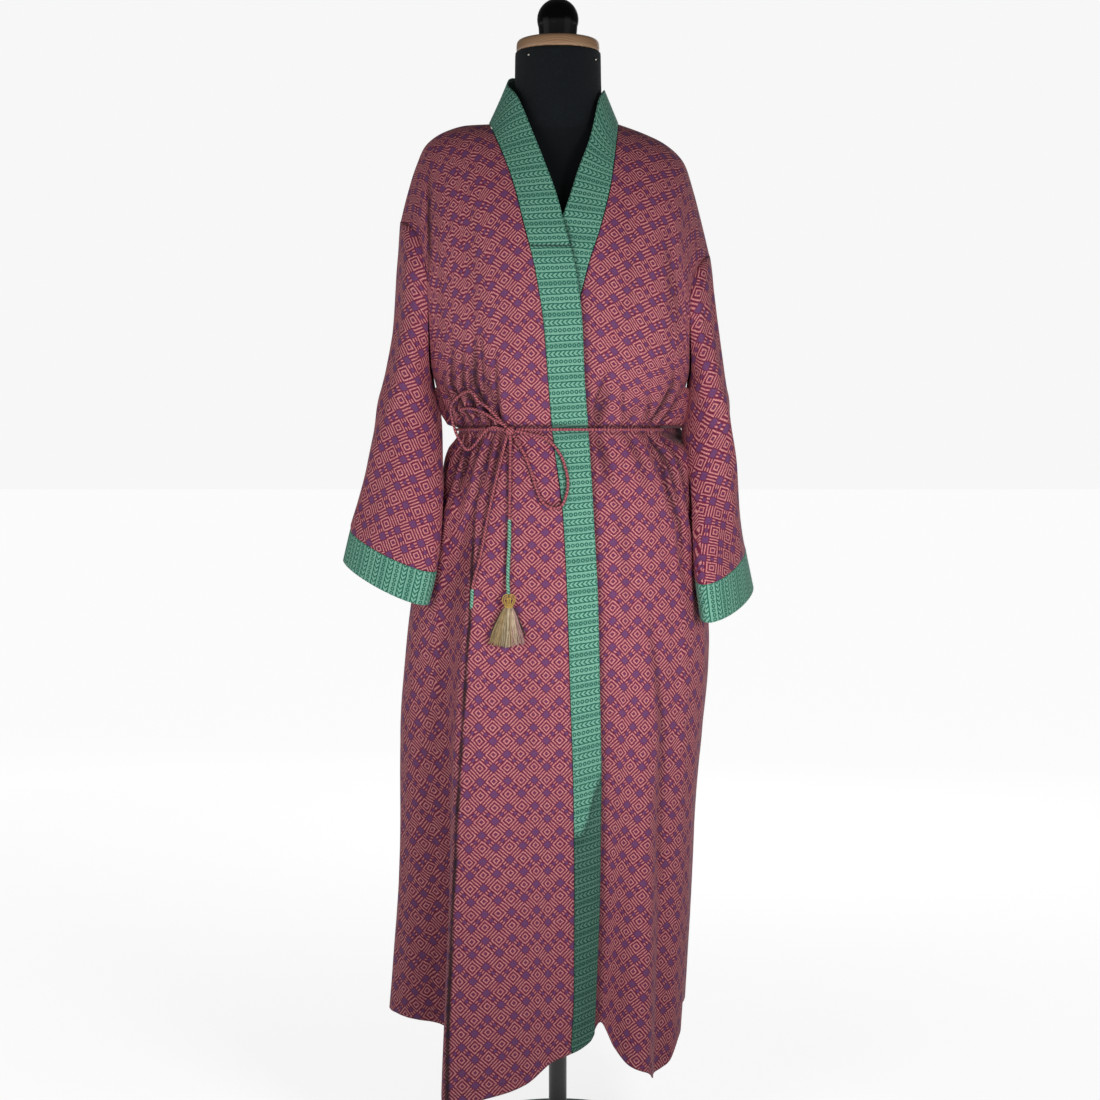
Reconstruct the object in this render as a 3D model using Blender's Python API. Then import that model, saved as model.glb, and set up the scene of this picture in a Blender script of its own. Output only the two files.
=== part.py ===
"""A full-length kimono robe on a limbless dress form.

Units are metres, +Z is up, and the robe opens towards -Y. Right and left are the wearer's, so the
right side is at -X. The origin is the middle of the underside of the form's round base. The cloth
hangs open over the form: each panel is a wall of the same surface, and its rings come from the
tables below.
"""

import math

import bmesh
import bpy
import numpy as np
from mathutils import Vector

# Cloth and cord
CLOTH = 0.0015
BAND_WALL = 0.0020
SEAM = 0.0003
LAP = 0.0050
CORD = 0.0040
TIP = 0.0052
CORD_STEP = 2.8

# Levels
BELT_Z = 1.000
UNDERARM_Z = 1.055
NECK_SIDE_Z = 1.4136
RING_POWER = 2.3

# The form
BASE_RADIUS = 0.160
BASE_HEIGHT = 0.010
POLE_RADIUS = 0.0125
FORM_X = -0.0012
TORSO_BOTTOM_Z = 0.720
NECK_TOP_Z = 1.5100
CAP_RADIUS = 0.0562
CAP_HEIGHT = 0.0170
CAP_DOME = 0.0140
BALL_RADIUS = 0.0282
BALL_NECK_RADIUS = 0.0245
BALL_FROM = -20.0
BALL_TO = 84.0
BALL_CENTRE_Z = 1.5545
PIN_RADIUS = 0.0015
PINS = (("pin_right", -0.0392, 1.4995), ("pin_left", 0.0478, 1.4955))

RIGHT = -1
LEFT = 1


class Table:
    """A short table read as smooth curves, placed by its first column."""

    def __init__(self, names, rows):
        self.names = names.split()
        self.rows = np.array(sorted(rows), float)

    def at(self, name, place):
        """The named column at a place, on a curve that never overshoots its rows."""
        x = self.rows[:, 0]
        y = self.rows[:, self.names.index(name)]
        step = np.diff(x)
        slope = np.diff(y) / step
        tangent = np.zeros_like(y)
        tangent[0] = slope[0]
        tangent[-1] = slope[-1]
        for i in range(1, len(x) - 1):
            if slope[i - 1] * slope[i] > 0:
                near = 2 * step[i] + step[i - 1]
                far = step[i] + 2 * step[i - 1]
                tangent[i] = (near + far) / (near / slope[i - 1] + far / slope[i])
        place = np.clip(np.asarray(place, float), x[0], x[-1])
        i = np.clip(np.searchsorted(x, place, side="right") - 1, 0, len(step) - 1)
        t = (place - x[i]) / step[i]
        start = (1 + 2 * t) * (1 - t) ** 2 * y[i] + t * (1 - t) ** 2 * step[i] * tangent[i]
        end = t * t * (3 - 2 * t) * y[i + 1] + t * t * (t - 1) * step[i] * tangent[i + 1]
        return start + end


# Half-widths and depths of the robe round the form at each height
BODY = Table("z right left front back", (
    (0.130, 0.2395, 0.1640, 0.160, 0.186),
    (0.260, 0.2290, 0.1725, 0.157, 0.181),
    (0.390, 0.2195, 0.1800, 0.154, 0.175),
    (0.490, 0.2170, 0.1860, 0.151, 0.170),
    (0.580, 0.2165, 0.1955, 0.149, 0.166),
    (0.710, 0.2080, 0.2060, 0.145, 0.160),
    (0.770, 0.2010, 0.2030, 0.141, 0.155),
    (0.820, 0.1911, 0.1960, 0.136, 0.149),
    (0.876, 0.1771, 0.1870, 0.129, 0.142),
    (0.932, 0.1590, 0.1763, 0.121, 0.133),
    (0.960, 0.1493, 0.1660, 0.116, 0.125),
    (0.986, 0.1396, 0.1470, 0.1105, 0.114),
    (1.000, 0.1365, 0.1380, 0.1085, 0.109),
    (1.012, 0.1410, 0.1430, 0.1105, 0.113),
    (1.030, 0.1530, 0.1570, 0.1150, 0.121),
    (1.055, 0.1660, 0.1720, 0.1205, 0.131),
))

# Where each front panel meets its band, and where the band's free edge runs
EDGES = Table("z seam_right free_right seam_left free_left", (
    (0.180, 0.0156, 0.0490, -0.020, -0.066),
    (0.250, 0.0190, 0.0520, -0.020, -0.066),
    (0.386, 0.0194, 0.0561, -0.020, -0.066),
    (0.518, 0.0180, 0.0559, -0.020, -0.066),
    (0.649, 0.0141, 0.0532, -0.020, -0.066),
    (0.779, 0.0101, 0.0505, -0.020, -0.066),
    (0.883, 0.0050, 0.0455, -0.020, -0.066),
    (1.000, -0.0094, 0.0385, -0.016, -0.064),
    (1.065, -0.0146, 0.0335, -0.002, -0.050),
    (1.143, -0.0211, 0.0300, 0.0185, -0.029),
    (1.180, -0.0265, 0.0260, 0.0296, -0.018),
    (1.220, -0.0340, 0.0195, 0.0400, -0.008),
    (1.260, -0.0445, 0.0090, 0.0531, -0.001),
    (1.328, -0.0620, -0.0080, 0.0695, 0.022),
    (1.4136, -0.0945, -0.0400, 0.0804, 0.045),
))

# The hem's height round the robe, by angle from the front, the left side at +90
HEM = Table("angle z", (
    (-180, 0.172), (-130, 0.178), (-100, 0.196), (-80, 0.206), (-60, 0.201), (-47, 0.194),
    (-36, 0.1115), (-18, 0.1330), (-8, 0.1460), (0, 0.1760), (12, 0.1921), (18, 0.2130),
    (25, 0.1804), (31, 0.1577), (39, 0.1472), (50, 0.1310), (62, 0.1390), (72, 0.168), (90, 0.200),
    (110, 0.196), (140, 0.178), (180, 0.172),
))

# Long soft folds of the skirt: out is +, widths in degrees towards the front and away from it
FOLDS = (
    # angle_belt angle_hem  depth_hem  starts_z  wide_front  wide_back  lean
    (-30.0, -27.5, 0.050, 0.960, 28.0, 7.0, 0.009),
    (-46.0, -46.0, -0.038, 0.940, 9.0, 16.0, 0.000),
    (-2.0, -3.0, -0.010, 0.600, 7.0, 9.0, 0.000),
    (20.0, 19.0, -0.026, 0.700, 13.0, 11.0, 0.000),
    (27.0, 37.0, 0.014, 0.900, 9.0, 9.0, 0.000),
    (34.0, 55.0, -0.012, 0.860, 8.0, 8.0, 0.000),
    (62.0, 74.0, 0.004, 0.960, 9.0, 9.0, 0.000),
    (-80.0, -78.0, 0.004, 0.940, 10.0, 9.0, 0.000),
    (-98.0, -97.0, -0.014, 0.940, 9.0, 9.0, 0.000),
    (-117.0, -115.0, 0.020, 0.950, 10.0, 8.0, 0.004),
    (-134.0, -133.0, -0.016, 0.930, 9.0, 9.0, 0.000),
    (-152.0, -151.0, 0.018, 0.950, 10.0, 9.0, 0.000),
    (-170.0, -169.0, -0.014, 0.900, 9.0, 9.0, 0.000),
    (172.0, 172.0, 0.016, 0.930, 9.0, 9.0, 0.000),
    (154.0, 154.0, -0.016, 0.950, 9.0, 9.0, 0.000),
    (136.0, 137.0, 0.020, 0.960, 10.0, 9.0, 0.004),
    (117.0, 118.0, -0.014, 0.940, 9.0, 9.0, 0.000),
    (100.0, 100.0, 0.012, 0.940, 9.0, 9.0, 0.000),
)

# Gathers at the belt: creases cut in, deeper and longer above it or below it
GATHERS = (
    # angle  width  depth_above  reach_above  depth_below  reach_below
    (-79.0, 3.4, 0.007, 0.060, 0.007, 0.120),
    (-66.0, 3.4, 0.007, 0.075, 0.008, 0.140),
    (-57.0, 3.0, 0.009, 0.110, 0.007, 0.100),
    (-47.5, 2.6, 0.009, 0.110, 0.006, 0.090),
    (-39.0, 2.5, 0.010, 0.125, 0.006, 0.130),
    (-31.0, 2.3, 0.006, 0.090, 0.006, 0.110),
    (18.0, 3.0, 0.007, 0.060, 0.006, 0.080),
    (38.0, 3.0, 0.003, 0.035, 0.004, 0.070),
    (60.0, 3.2, 0.010, 0.080, 0.008, 0.100),
    (72.0, 3.2, 0.007, 0.060, 0.009, 0.190),
    (-97.0, 3.6, 0.008, 0.100, 0.008, 0.130),
    (-112.0, 3.6, 0.008, 0.080, 0.008, 0.180),
    (-127.0, 3.6, 0.007, 0.110, 0.008, 0.120),
    (-143.0, 3.6, 0.008, 0.090, 0.008, 0.200),
    (-160.0, 3.6, 0.007, 0.120, 0.007, 0.130),
    (-177.0, 3.6, 0.008, 0.080, 0.008, 0.170),
    (166.0, 3.6, 0.007, 0.110, 0.007, 0.120),
    (149.0, 3.6, 0.008, 0.090, 0.008, 0.190),
    (133.0, 3.6, 0.008, 0.120, 0.008, 0.130),
    (117.0, 3.6, 0.007, 0.080, 0.008, 0.160),
    (101.0, 3.6, 0.008, 0.100, 0.008, 0.120),
)

# The shoulder ridge, from the neck (0) to the top of the armhole (1)
RIDGE = {
    RIGHT: Table("run x z", (
        (0.00, 0.0945, 1.4136), (0.26, 0.1250, 1.4120), (0.46, 0.1540, 1.4040),
        (0.65, 0.1800, 1.3860), (0.81, 0.1948, 1.3545), (0.93, 0.2070, 1.3150),
        (1.00, 0.2150, 1.2830))),
    LEFT: Table("run x z", (
        (0.00, 0.0804, 1.4136), (0.26, 0.1150, 1.4010), (0.46, 0.1445, 1.3865),
        (0.62, 0.1695, 1.3620), (0.76, 0.1830, 1.3230), (0.89, 0.1930, 1.2857),
        (1.00, 0.2050, 1.2370))),
}

# The armhole seam, from the underarm (0) up over the front to its top (1)
ARMHOLE = {
    RIGHT: Table("run x z depth", (
        (0.00, 0.1660, 1.0550, 0.0), (0.15, 0.1715, 1.0850, 0.034), (0.35, 0.1735, 1.1400, 0.056),
        (0.60, 0.1765, 1.2050, 0.064), (0.80, 0.1850, 1.2500, 0.052),
        (0.93, 0.2010, 1.2750, 0.030), (1.00, 0.2150, 1.2830, 0.0))),
    LEFT: Table("run x z depth", (
        (0.00, 0.1720, 1.0550, 0.0), (0.15, 0.1755, 1.0800, 0.034), (0.35, 0.1745, 1.1250, 0.056),
        (0.60, 0.1745, 1.1720, 0.064), (0.80, 0.1810, 1.2080, 0.052),
        (0.93, 0.1940, 1.2290, 0.030), (1.00, 0.2050, 1.2370, 0.0))),
}

# The sleeve's outer side beside the armhole, by the share up the armhole's seam
SLEEVE_HEAD = {
    RIGHT: Table("run outer", (
        (0.00, 0.2400), (0.15, 0.2340), (0.35, 0.2248), (0.60, 0.2196), (0.80, 0.2172), (1.00, 0.2168))),
    LEFT: Table("run outer", (
        (0.00, 0.2284), (0.15, 0.2247), (0.35, 0.2180), (0.60, 0.2121), (0.80, 0.2088), (1.00, 0.2068))),
}

# The sleeve's rings: how far out and how high its outer and inner sides are, its middle's place
# to the front (-) or back, its half-depth, and its turn in degrees, the inner side to the front
SLEEVE = {
    RIGHT: Table("run outer outer_z inner inner_z middle_y depth turn", (
        (0.00, 0.2400, 1.0550, 0.1690, 1.0550, 0.000, 0.062, 0.0),
        (0.20, 0.2458, 1.0175, 0.1620, 1.0085, -0.016, 0.052, 12.0),
        (0.40, 0.2539, 0.9800, 0.1575, 0.9610, -0.033, 0.044, 22.0),
        (0.60, 0.2611, 0.9420, 0.1555, 0.9120, -0.047, 0.039, 28.0),
        (0.80, 0.2707, 0.9050, 0.1570, 0.8630, -0.058, 0.037, 32.0),
        (1.00, 0.2820, 0.8670, 0.1631, 0.8120, -0.066, 0.036, 34.0),
        (1.15, 0.2910, 0.8270, 0.1726, 0.7690, -0.074, 0.036, 35.0))),
    LEFT: Table("run outer outer_z inner inner_z middle_y depth turn", (
        (0.00, 0.2284, 1.0550, 0.1750, 1.0550, 0.000, 0.064, 0.0),
        (0.20, 0.2325, 1.0125, 0.1735, 1.0030, -0.006, 0.050, 22.0),
        (0.40, 0.2386, 0.9700, 0.1755, 0.9510, -0.014, 0.036, 42.0),
        (0.60, 0.2432, 0.9275, 0.1775, 0.8990, -0.022, 0.030, 56.0),
        (0.80, 0.2486, 0.8850, 0.1795, 0.8470, -0.030, 0.027, 64.0),
        (1.00, 0.2572, 0.8430, 0.1825, 0.7950, -0.036, 0.026, 67.0),
        (1.15, 0.2690, 0.7880, 0.1885, 0.7460, -0.040, 0.026, 67.0))),
}
SLEEVE_CLEAR = 0.0045
SLEEVE_GAP = 0.0012
UNDERARM_GAP = 0.0018

# The band round the neck: the height of its seam on the fronts, and its free edge
NECK_BAND = Table("run seam_z x y z", (
    (0.00, 1.2400, 0.0135, -0.1240, 1.2470),
    (0.20, 1.2750, 0.0020, -0.1130, 1.2860),
    (0.50, 1.3270, -0.0165, -0.0910, 1.3450),
    (0.75, 1.3700, -0.0370, -0.0650, 1.4000),
    (0.90, 1.3990, -0.0570, -0.0370, 1.4480),
    (1.00, 1.4136, -0.0695, -0.0060, 1.4670),
    (1.12, 1.4136, -0.0665, 0.0170, 1.4780),
    (1.25, 1.4136, -0.0590, 0.0400, 1.4830),
    (1.50, 1.4136, 0.0000, 0.0710, 1.4640),
    (1.75, 1.4136, 0.0530, 0.0430, 1.4600),
    (2.00, 1.4136, 0.0612, -0.0060, 1.4590),
    (2.10, 1.3990, 0.0545, -0.0340, 1.4450),
    (2.25, 1.3660, 0.0420, -0.0630, 1.3910),
    (2.50, 1.3050, 0.0160, -0.0960, 1.3190),
    (2.75, 1.2310, -0.0075, -0.1180, 1.2420),
    (3.00, 1.1700, -0.0230, -0.1240, 1.1790),
))
NECK_SEAT_FRONT = 0.0010
NECK_SEAT_BACK = 0.0018
BACK_NECK_DEPTH = 0.073
BACK_NECK_DROP = 0.012
NECK_SHARE = 0.36

# The form's sections: half-width, depth to the front and back, and how square the section is
TORSO = Table("z wide front back square", (
    (0.7200, 0.1360, 0.0850, 0.1000, 2.3),
    (0.7600, 0.1480, 0.0960, 0.1120, 2.3),
    (0.8400, 0.1440, 0.0940, 0.1080, 2.3),
    (0.9200, 0.1290, 0.0840, 0.0950, 2.3),
    (0.9900, 0.1140, 0.0740, 0.0800, 2.3),
    (1.0500, 0.1200, 0.0840, 0.0860, 2.3),
    (1.1200, 0.1370, 0.1030, 0.0960, 2.3),
    (1.1900, 0.1500, 0.1140, 0.1020, 2.3),
    (1.2500, 0.1600, 0.1030, 0.1010, 2.3),
    (1.3000, 0.1680, 0.0840, 0.0930, 2.2),
    (1.3300, 0.1670, 0.0700, 0.0830, 2.0),
    (1.3560, 0.1620, 0.0600, 0.0720, 1.85),
    (1.3800, 0.1470, 0.0550, 0.0630, 1.70),
    (1.3950, 0.1205, 0.0540, 0.0600, 1.65),
    (1.4060, 0.0885, 0.0540, 0.0590, 1.75),
    (1.4110, 0.0735, 0.0545, 0.0590, 1.90),
    (1.4200, 0.0655, 0.0550, 0.0590, 2.0),
    (1.4600, 0.0590, 0.0555, 0.0590, 2.0),
    (1.5100, 0.0580, 0.0560, 0.0580, 2.0),
))

# Routes of the belt's cord: x and z as worn, and how far it stands off the cloth's middle surface
CLOTH_SIDE_SHARE = 0.86
DEGREES_PER_METRE = 350.0
BELT_LIFT = 0.0034
BELT_EASE = 0.0006
BELT_ENDS = 4.4
BELT_RISE = 0.0005
KNOT_AT = (-0.0646, 0.9985)
KNOT_SIZE = (0.0068, 0.0052, 0.0062)
KNOT_LIFT = 0.0080
LOOP_RIGHT = (
    (-0.0700, 1.0032, 0.0065), (-0.0770, 1.0115, 0.0060), (-0.0836, 1.0187, 0.0055),
    (-0.0953, 1.0303, 0.0050), (-0.1065, 1.0380, 0.0050), (-0.1125, 1.0470, 0.0050),
    (-0.1198, 1.0507, 0.0050), (-0.1326, 1.0450, 0.0055), (-0.1422, 1.0347, 0.0065),
    (-0.1440, 1.0255, 0.0075), (-0.1422, 1.0137, 0.0090), (-0.1375, 0.9965, 0.0105),
    (-0.1306, 0.9836, 0.0095), (-0.1223, 0.9734, 0.0075), (-0.1130, 0.9790, 0.0080),
    (-0.1035, 0.9908, 0.0095), (-0.0954, 1.0000, 0.0100), (-0.0859, 1.0035, 0.0105),
    (-0.0718, 1.0001, 0.0105),
)
STRAND = (
    (-0.0692, 1.0046, 0.0112), (-0.0768, 1.0093, 0.0125), (-0.0860, 1.0140, 0.0106),
    (-0.0960, 1.0208, 0.0085), (-0.1080, 1.0262, 0.0065), (-0.1210, 1.0285, 0.0055),
    (-0.1330, 1.0265, 0.0055),
)
LOOP_LEFT = (
    (-0.0572, 0.9985, 0.0095), (-0.0382, 0.9946, 0.0095), (-0.0185, 0.9890, 0.0075),
    (-0.0042, 0.9765, 0.0060), (0.0063, 0.9569, 0.0050), (0.0116, 0.9307, 0.0045),
    (0.0077, 0.9098, 0.0045), (0.0011, 0.8993, 0.0045), (-0.0110, 0.8985, 0.0045),
    (-0.0225, 0.9070, 0.0045), (-0.0295, 0.9229, 0.0045), (-0.0361, 0.9438, 0.0045),
    (-0.0434, 0.9634, 0.0050), (-0.0529, 0.9814, 0.0065), (-0.0603, 0.9929, 0.0080),
)
END_LONG = (
    (-0.0641, 0.9920, 0.0097), (-0.0640, 0.9780, 0.0075), (-0.0642, 0.9560, 0.0055),
    (-0.0645, 0.9350, 0.0045), (-0.0647, 0.9150, 0.0042), (-0.0649, 0.8980, 0.0040),
    (-0.0651, 0.8830, 0.0040),
)
TIP_LONG = (
    (-0.0651, 0.8824, 0.0040), (-0.0650, 0.8650, 0.0040), (-0.0655, 0.8450, 0.0044),
    (-0.0665, 0.8220, 0.0056), (-0.0668, 0.8020, 0.0072), (-0.0660, 0.7868, 0.0085),
)
END_SHORT = (
    (-0.0682, 0.9925, 0.0076), (-0.0725, 0.9770, 0.0055), (-0.0775, 0.9560, 0.0042),
    (-0.0832, 0.9330, 0.0040), (-0.0890, 0.9070, 0.0040), (-0.0945, 0.8800, 0.0040),
    (-0.0990, 0.8560, 0.0040), (-0.1030, 0.8340, 0.0040),
)
TIP_SHORT = (
    (-0.1031, 0.8334, 0.0040), (-0.1060, 0.8150, 0.0040), (-0.1085, 0.7960, 0.0040),
    (-0.1105, 0.7770, 0.0040), (-0.1122, 0.7590, 0.0040),
)

# The tassel: its head, and strands that flare and trail towards the right side
TASSEL_TOP_Z = 0.7862
TASSEL_X = -0.0655
TASSEL_LIFT = 0.0115
TASSEL_HEAD = ((0.0000, 0.0022), (0.0020, 0.0058), (0.0070, 0.0082), (0.0120, 0.0066), (0.0170, 0.0074))
TASSEL_STRANDS = 38
TASSEL_LENGTH = 0.050
TASSEL_FLARE = 0.0235
TASSEL_TRAIL = -0.0100
STRAND_RADIUS = 0.0009

# How finely the walls are divided, and where their first columns stand at the belt
SIDE_INSET = 0.0008
FIRST_ANGLE = {RIGHT: -4.0, LEFT: -7.5}
COLUMN_WIDTH = 9.0
BACK_COLUMN_WIDTH = 9.5
NECK_CORNER_CLEAR = 0.03
TORSO_STEPS = 24
RIDGE_RUN = 2.95
SKIRT_ROWS = (0.0, 0.10, 0.21, 0.33, 0.46, 0.58, 0.69, 0.79, 0.87, 0.93, 0.97, 1.0)
WAIST_ROWS = (1.012, 1.030, 1.055)
CHEST_ROWS = (0.10, 0.22, 0.37, 0.53, 0.68, 0.81, 0.915, 0.97, 1.0)
SLEEVE_TURNS = 20
SLEEVE_ROWS = (-0.975, -0.90, -0.78, -0.62, -0.45, -0.28, -0.12, 0.0, 0.14, 0.30, 0.50, 0.72, 0.9985)
CUFF_ROWS = (1.0, 1.075, 1.15)

CLOTH_LOOK = ((0.36, 0.07, 0.12, 1.0), 0.75, 0.0)
GREEN_LOOK = ((0.06, 0.32, 0.22, 1.0), 0.75, 0.0)
GOLD_LOOK = ((0.60, 0.40, 0.12, 1.0), 0.60, 0.0)
FORM_LOOK = ((0.012, 0.016, 0.020, 1.0), 0.80, 0.0)
WOOD_LOOK = ((0.52, 0.30, 0.15, 1.0), 0.45, 0.0)
GLOSS_LOOK = ((0.008, 0.008, 0.010, 1.0), 0.15, 0.0)
METAL_LOOK = ((0.020, 0.020, 0.022, 1.0), 0.35, 0.9)


def fade(value, low, high):
    """0 below low, 1 above high, smooth between."""
    t = np.clip((value - low) / (high - low), 0.0, 1.0)
    return t * t * (3.0 - 2.0 * t)


def half_width(sign, z):
    """The body ring's half-width on one side."""
    return np.where(sign < 0, BODY.at("right", z), BODY.at("left", z))


def ring_base(angle, z):
    """A point and its outward direction on the body ring, with no folds: x, y, nx, ny."""
    wide = half_width(np.sign(angle_side(angle)), z)
    cos = np.cos(np.radians(angle))
    sin = np.sin(np.radians(angle))
    deep = np.where(cos > 0, BODY.at("front", z), BODY.at("back", z))
    power = 2.0 / RING_POWER
    x = wide * np.sign(sin) * np.abs(sin) ** power
    y = -deep * np.sign(cos) * np.abs(cos) ** power
    nx = np.sign(x) * np.abs(x / wide) ** (RING_POWER - 1) / wide
    ny = np.sign(y) * np.abs(y / deep) ** (RING_POWER - 1) / deep
    size = np.hypot(nx, ny)
    return x, y, nx / size, ny / size


def angle_side(angle):
    """Angles wrapped to the half turn each side of the front."""
    return (np.asarray(angle, float) + 180.0) % 360.0 - 180.0


def ring_angle(x, z):
    """The angle of the front half of the ring at a given x."""
    wide = half_width(np.sign(x), z)
    sin = np.clip(np.abs(x) / wide, 0.0, 1.0) ** (RING_POWER / 2.0)
    return np.degrees(np.sign(x) * np.arcsin(sin))


def fold_depth(angle, z):
    """How far the long folds stand out, and how far they lean round the ring."""
    out = np.zeros(np.broadcast(angle, z).shape)
    lean = np.zeros_like(out)
    hem = HEM.at("z", angle_side(angle))
    for at_belt, at_hem, depth, starts, wide_front, wide_back, reach in FOLDS:
        down = np.clip((BELT_Z - z) / (BELT_Z - hem), 0.0, 1.0)
        middle = at_belt + (at_hem - at_belt) * down
        away = angle_side(angle - middle) * (1.0 if at_belt > 0 else -1.0)
        width = np.where(away > 0, wide_back, wide_front)
        grown = fade(starts - z, 0.0, starts - 0.14) ** 0.75
        bump = np.exp(-(away / width) ** 2) * grown
        out = out + depth * bump
        lean = lean + reach * np.exp(-(away / (0.6 * wide_back)) ** 2) * grown * (1 if at_belt > 0 else -1)
    return out, lean


def gather_depth(side, angle, z):
    """How far the belt's gathers are cut in, on one front or on the back (None)."""
    depth = np.zeros(np.broadcast(angle, z).shape)
    for middle, width, above, reach_above, below, reach_below in GATHERS:
        if side is not None and middle * side < 0:
            continue
        away = angle_side(angle - middle) / width
        up = (z - BELT_Z) / reach_above
        down = (BELT_Z - z) / reach_below
        swell = np.where(z > BELT_Z, above * fade(up, -0.35, 0.35) * (1 - fade(up, 0.4, 1.25)),
                         below * fade(down, -0.30, 0.30) * (1 - fade(down, 0.4, 1.25)))
        depth = depth - swell * np.exp(-away * away)
    return depth


def under_lap(side, x, z):
    """How far the under-lapping left front lies inside the right one."""
    if side == RIGHT:
        return 0.0 * x
    past = x - EDGES.at("free_right", z)
    return -LAP * (1.0 - fade(past, 0.003, 0.026)) * (1.0 - fade(z, 1.262, 1.290))


def ring_point(side, angle, z, gathered=1.0):
    """A point of the cloth's middle surface below the underarm, with its gathers or without."""
    x, y, nx, ny = ring_base(angle, z)
    out, lean = fold_depth(angle, z)
    out = out + gathered * gather_depth(side, angle, z)
    if side is not None:
        out = out + under_lap(side, x, z)
    return np.stack([x + nx * out - ny * lean, y + ny * out + nx * lean, z + 0 * x], -1)


def front_angle(side, s, z):
    """The ring angle on a front panel: s is 0 at the band's seam, 1 at the side, -1 at the free edge."""
    name = "right" if side == RIGHT else "left"
    seam = ring_angle(EDGES.at("seam_" + name, z), z)
    free = ring_angle(EDGES.at("free_" + name, z), z)
    return np.where(s >= 0, seam + s * (90.0 * side - seam), seam - s * (free - seam))


def chest_profile(v):
    """The share of the ring's depth left at a height on the chest: 1 at the underarm, 0 at the ridge."""
    return np.sqrt(np.clip(1.0 - np.clip(v, 0.0, 1.0) ** 2.6, 0.0, 1.0)) * (1.0 + 0.10 * np.sin(math.pi * v))


def patch(side, across, v, low_x, low_y, top_x, top_z, edge_x, edge_z, edge_y):
    """A chest or back patch between its ring, its ridge, its inner edge and the armhole."""
    hole = ARMHOLE[side]
    out_x = side * hole.at("x", v)
    out_z = hole.at("z", v)
    x = (1 - v) * low_x + v * top_x + (1 - across) * edge_x + across * out_x
    z = (1 - v) * UNDERARM_Z + v * top_z + (1 - across) * edge_z + across * out_z
    x = x - ((1 - v) * (1 - across) * edge_y[0] + v * (1 - across) * edge_y[2]
             + (1 - v) * across * side * hole.at("x", 0.0) + v * across * side * hole.at("x", 1.0))
    z = z - ((1 - v) * UNDERARM_Z + v * (1 - across) * edge_y[3] + v * across * hole.at("z", 1.0))
    depth = np.abs(low_y) * chest_profile(v) + across ** 3 * hole.at("depth", v)
    return x, depth, z


def chest_point(side, s, v, gathered=1.0):
    """A point of a front panel above the underarm, s as in front_angle."""
    name = "right" if side == RIGHT else "left"
    edge_z = UNDERARM_Z + (NECK_SIDE_Z - UNDERARM_Z) * v
    edge_x = EDGES.at("seam_" + name, edge_z)
    across = np.clip(s, 0.0, 1.0)
    angle = front_angle(side, s, UNDERARM_Z)
    low_x, low_y, _, _ = ring_base(angle, UNDERARM_Z)
    corner_x = EDGES.at("seam_" + name, UNDERARM_Z)
    top_x = side * RIDGE[side].at("x", across)
    top_z = RIDGE[side].at("z", across)
    inner_low_x = np.where(s >= 0, low_x, corner_x)
    x, depth, z = patch(side, across, v, inner_low_x, low_y, top_x, top_z, edge_x, edge_z,
                        (corner_x, None, side * RIDGE[side].at("x", 0.0), NECK_SIDE_Z))
    free_x = EDGES.at("free_" + name, edge_z)
    x = np.where(s < 0, x - s * (free_x - edge_x), x)
    depth = depth + gathered * gather_depth(side, angle, z) + under_lap(side, x, z)
    return np.stack([x, -depth, z], -1)


def back_point(s, v, gathered=1.0):
    """A point of the back above the underarm: s runs from -1 at the right armhole to 1 at the left."""
    angle = 180.0 - 90.0 * s
    low_x, low_y, _, _ = ring_base(angle, UNDERARM_Z)
    parts = []
    for side in (RIGHT, LEFT):
        across = np.abs(s)
        neck_x = RIDGE[side].at("x", 0.0)
        run = np.clip((across - NECK_SHARE) / (1 - NECK_SHARE), 0.0, 1.0)
        inside = np.sin(np.clip(across / NECK_SHARE, 0.0, 1.0) * math.pi / 2)
        top_x = side * np.where(across < NECK_SHARE, neck_x * inside, RIDGE[side].at("x", run))
        top_z = np.where(across < NECK_SHARE,
                         NECK_SIDE_Z - BACK_NECK_DROP * np.sqrt(np.clip(1 - inside ** 2, 0, 1)),
                         RIDGE[side].at("z", run))
        edge_z = UNDERARM_Z + (NECK_SIDE_Z - BACK_NECK_DROP - UNDERARM_Z) * v
        x, depth, z = patch(side, across, v, low_x, low_y, top_x, top_z, 0.0 * v, edge_z,
                            (0.0, None, 0.0, NECK_SIDE_Z - BACK_NECK_DROP))
        neck = BACK_NECK_DEPTH * np.sqrt(np.clip(1 - inside ** 2, 0.0, 1.0))
        profile = chest_profile(v)
        depth = depth + neck * (1.0 - np.clip(profile, 0.0, 1.0))
        depth = depth + gathered * gather_depth(None, angle, z) * (1 - fade(v, 0.3, 0.7))
        parts.append(np.stack([x, depth, z], -1))
    return np.where((np.asarray(s) < 0)[..., None], parts[0], parts[1])


def cloth_y(x, z):
    """The y of the right front's middle surface at x and z, with no gathers, below the underarm."""
    wide = half_width(np.sign(x), z) * CLOTH_SIDE_SHARE
    held_x = np.clip(x, -wide, wide)
    angle = ring_angle(held_x, z)
    for _ in range(30):
        point = ring_point(RIGHT, angle, np.asarray(z), 0.0)
        angle = angle + DEGREES_PER_METRE * (held_x - point[0])
    return float(point[1])


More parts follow.
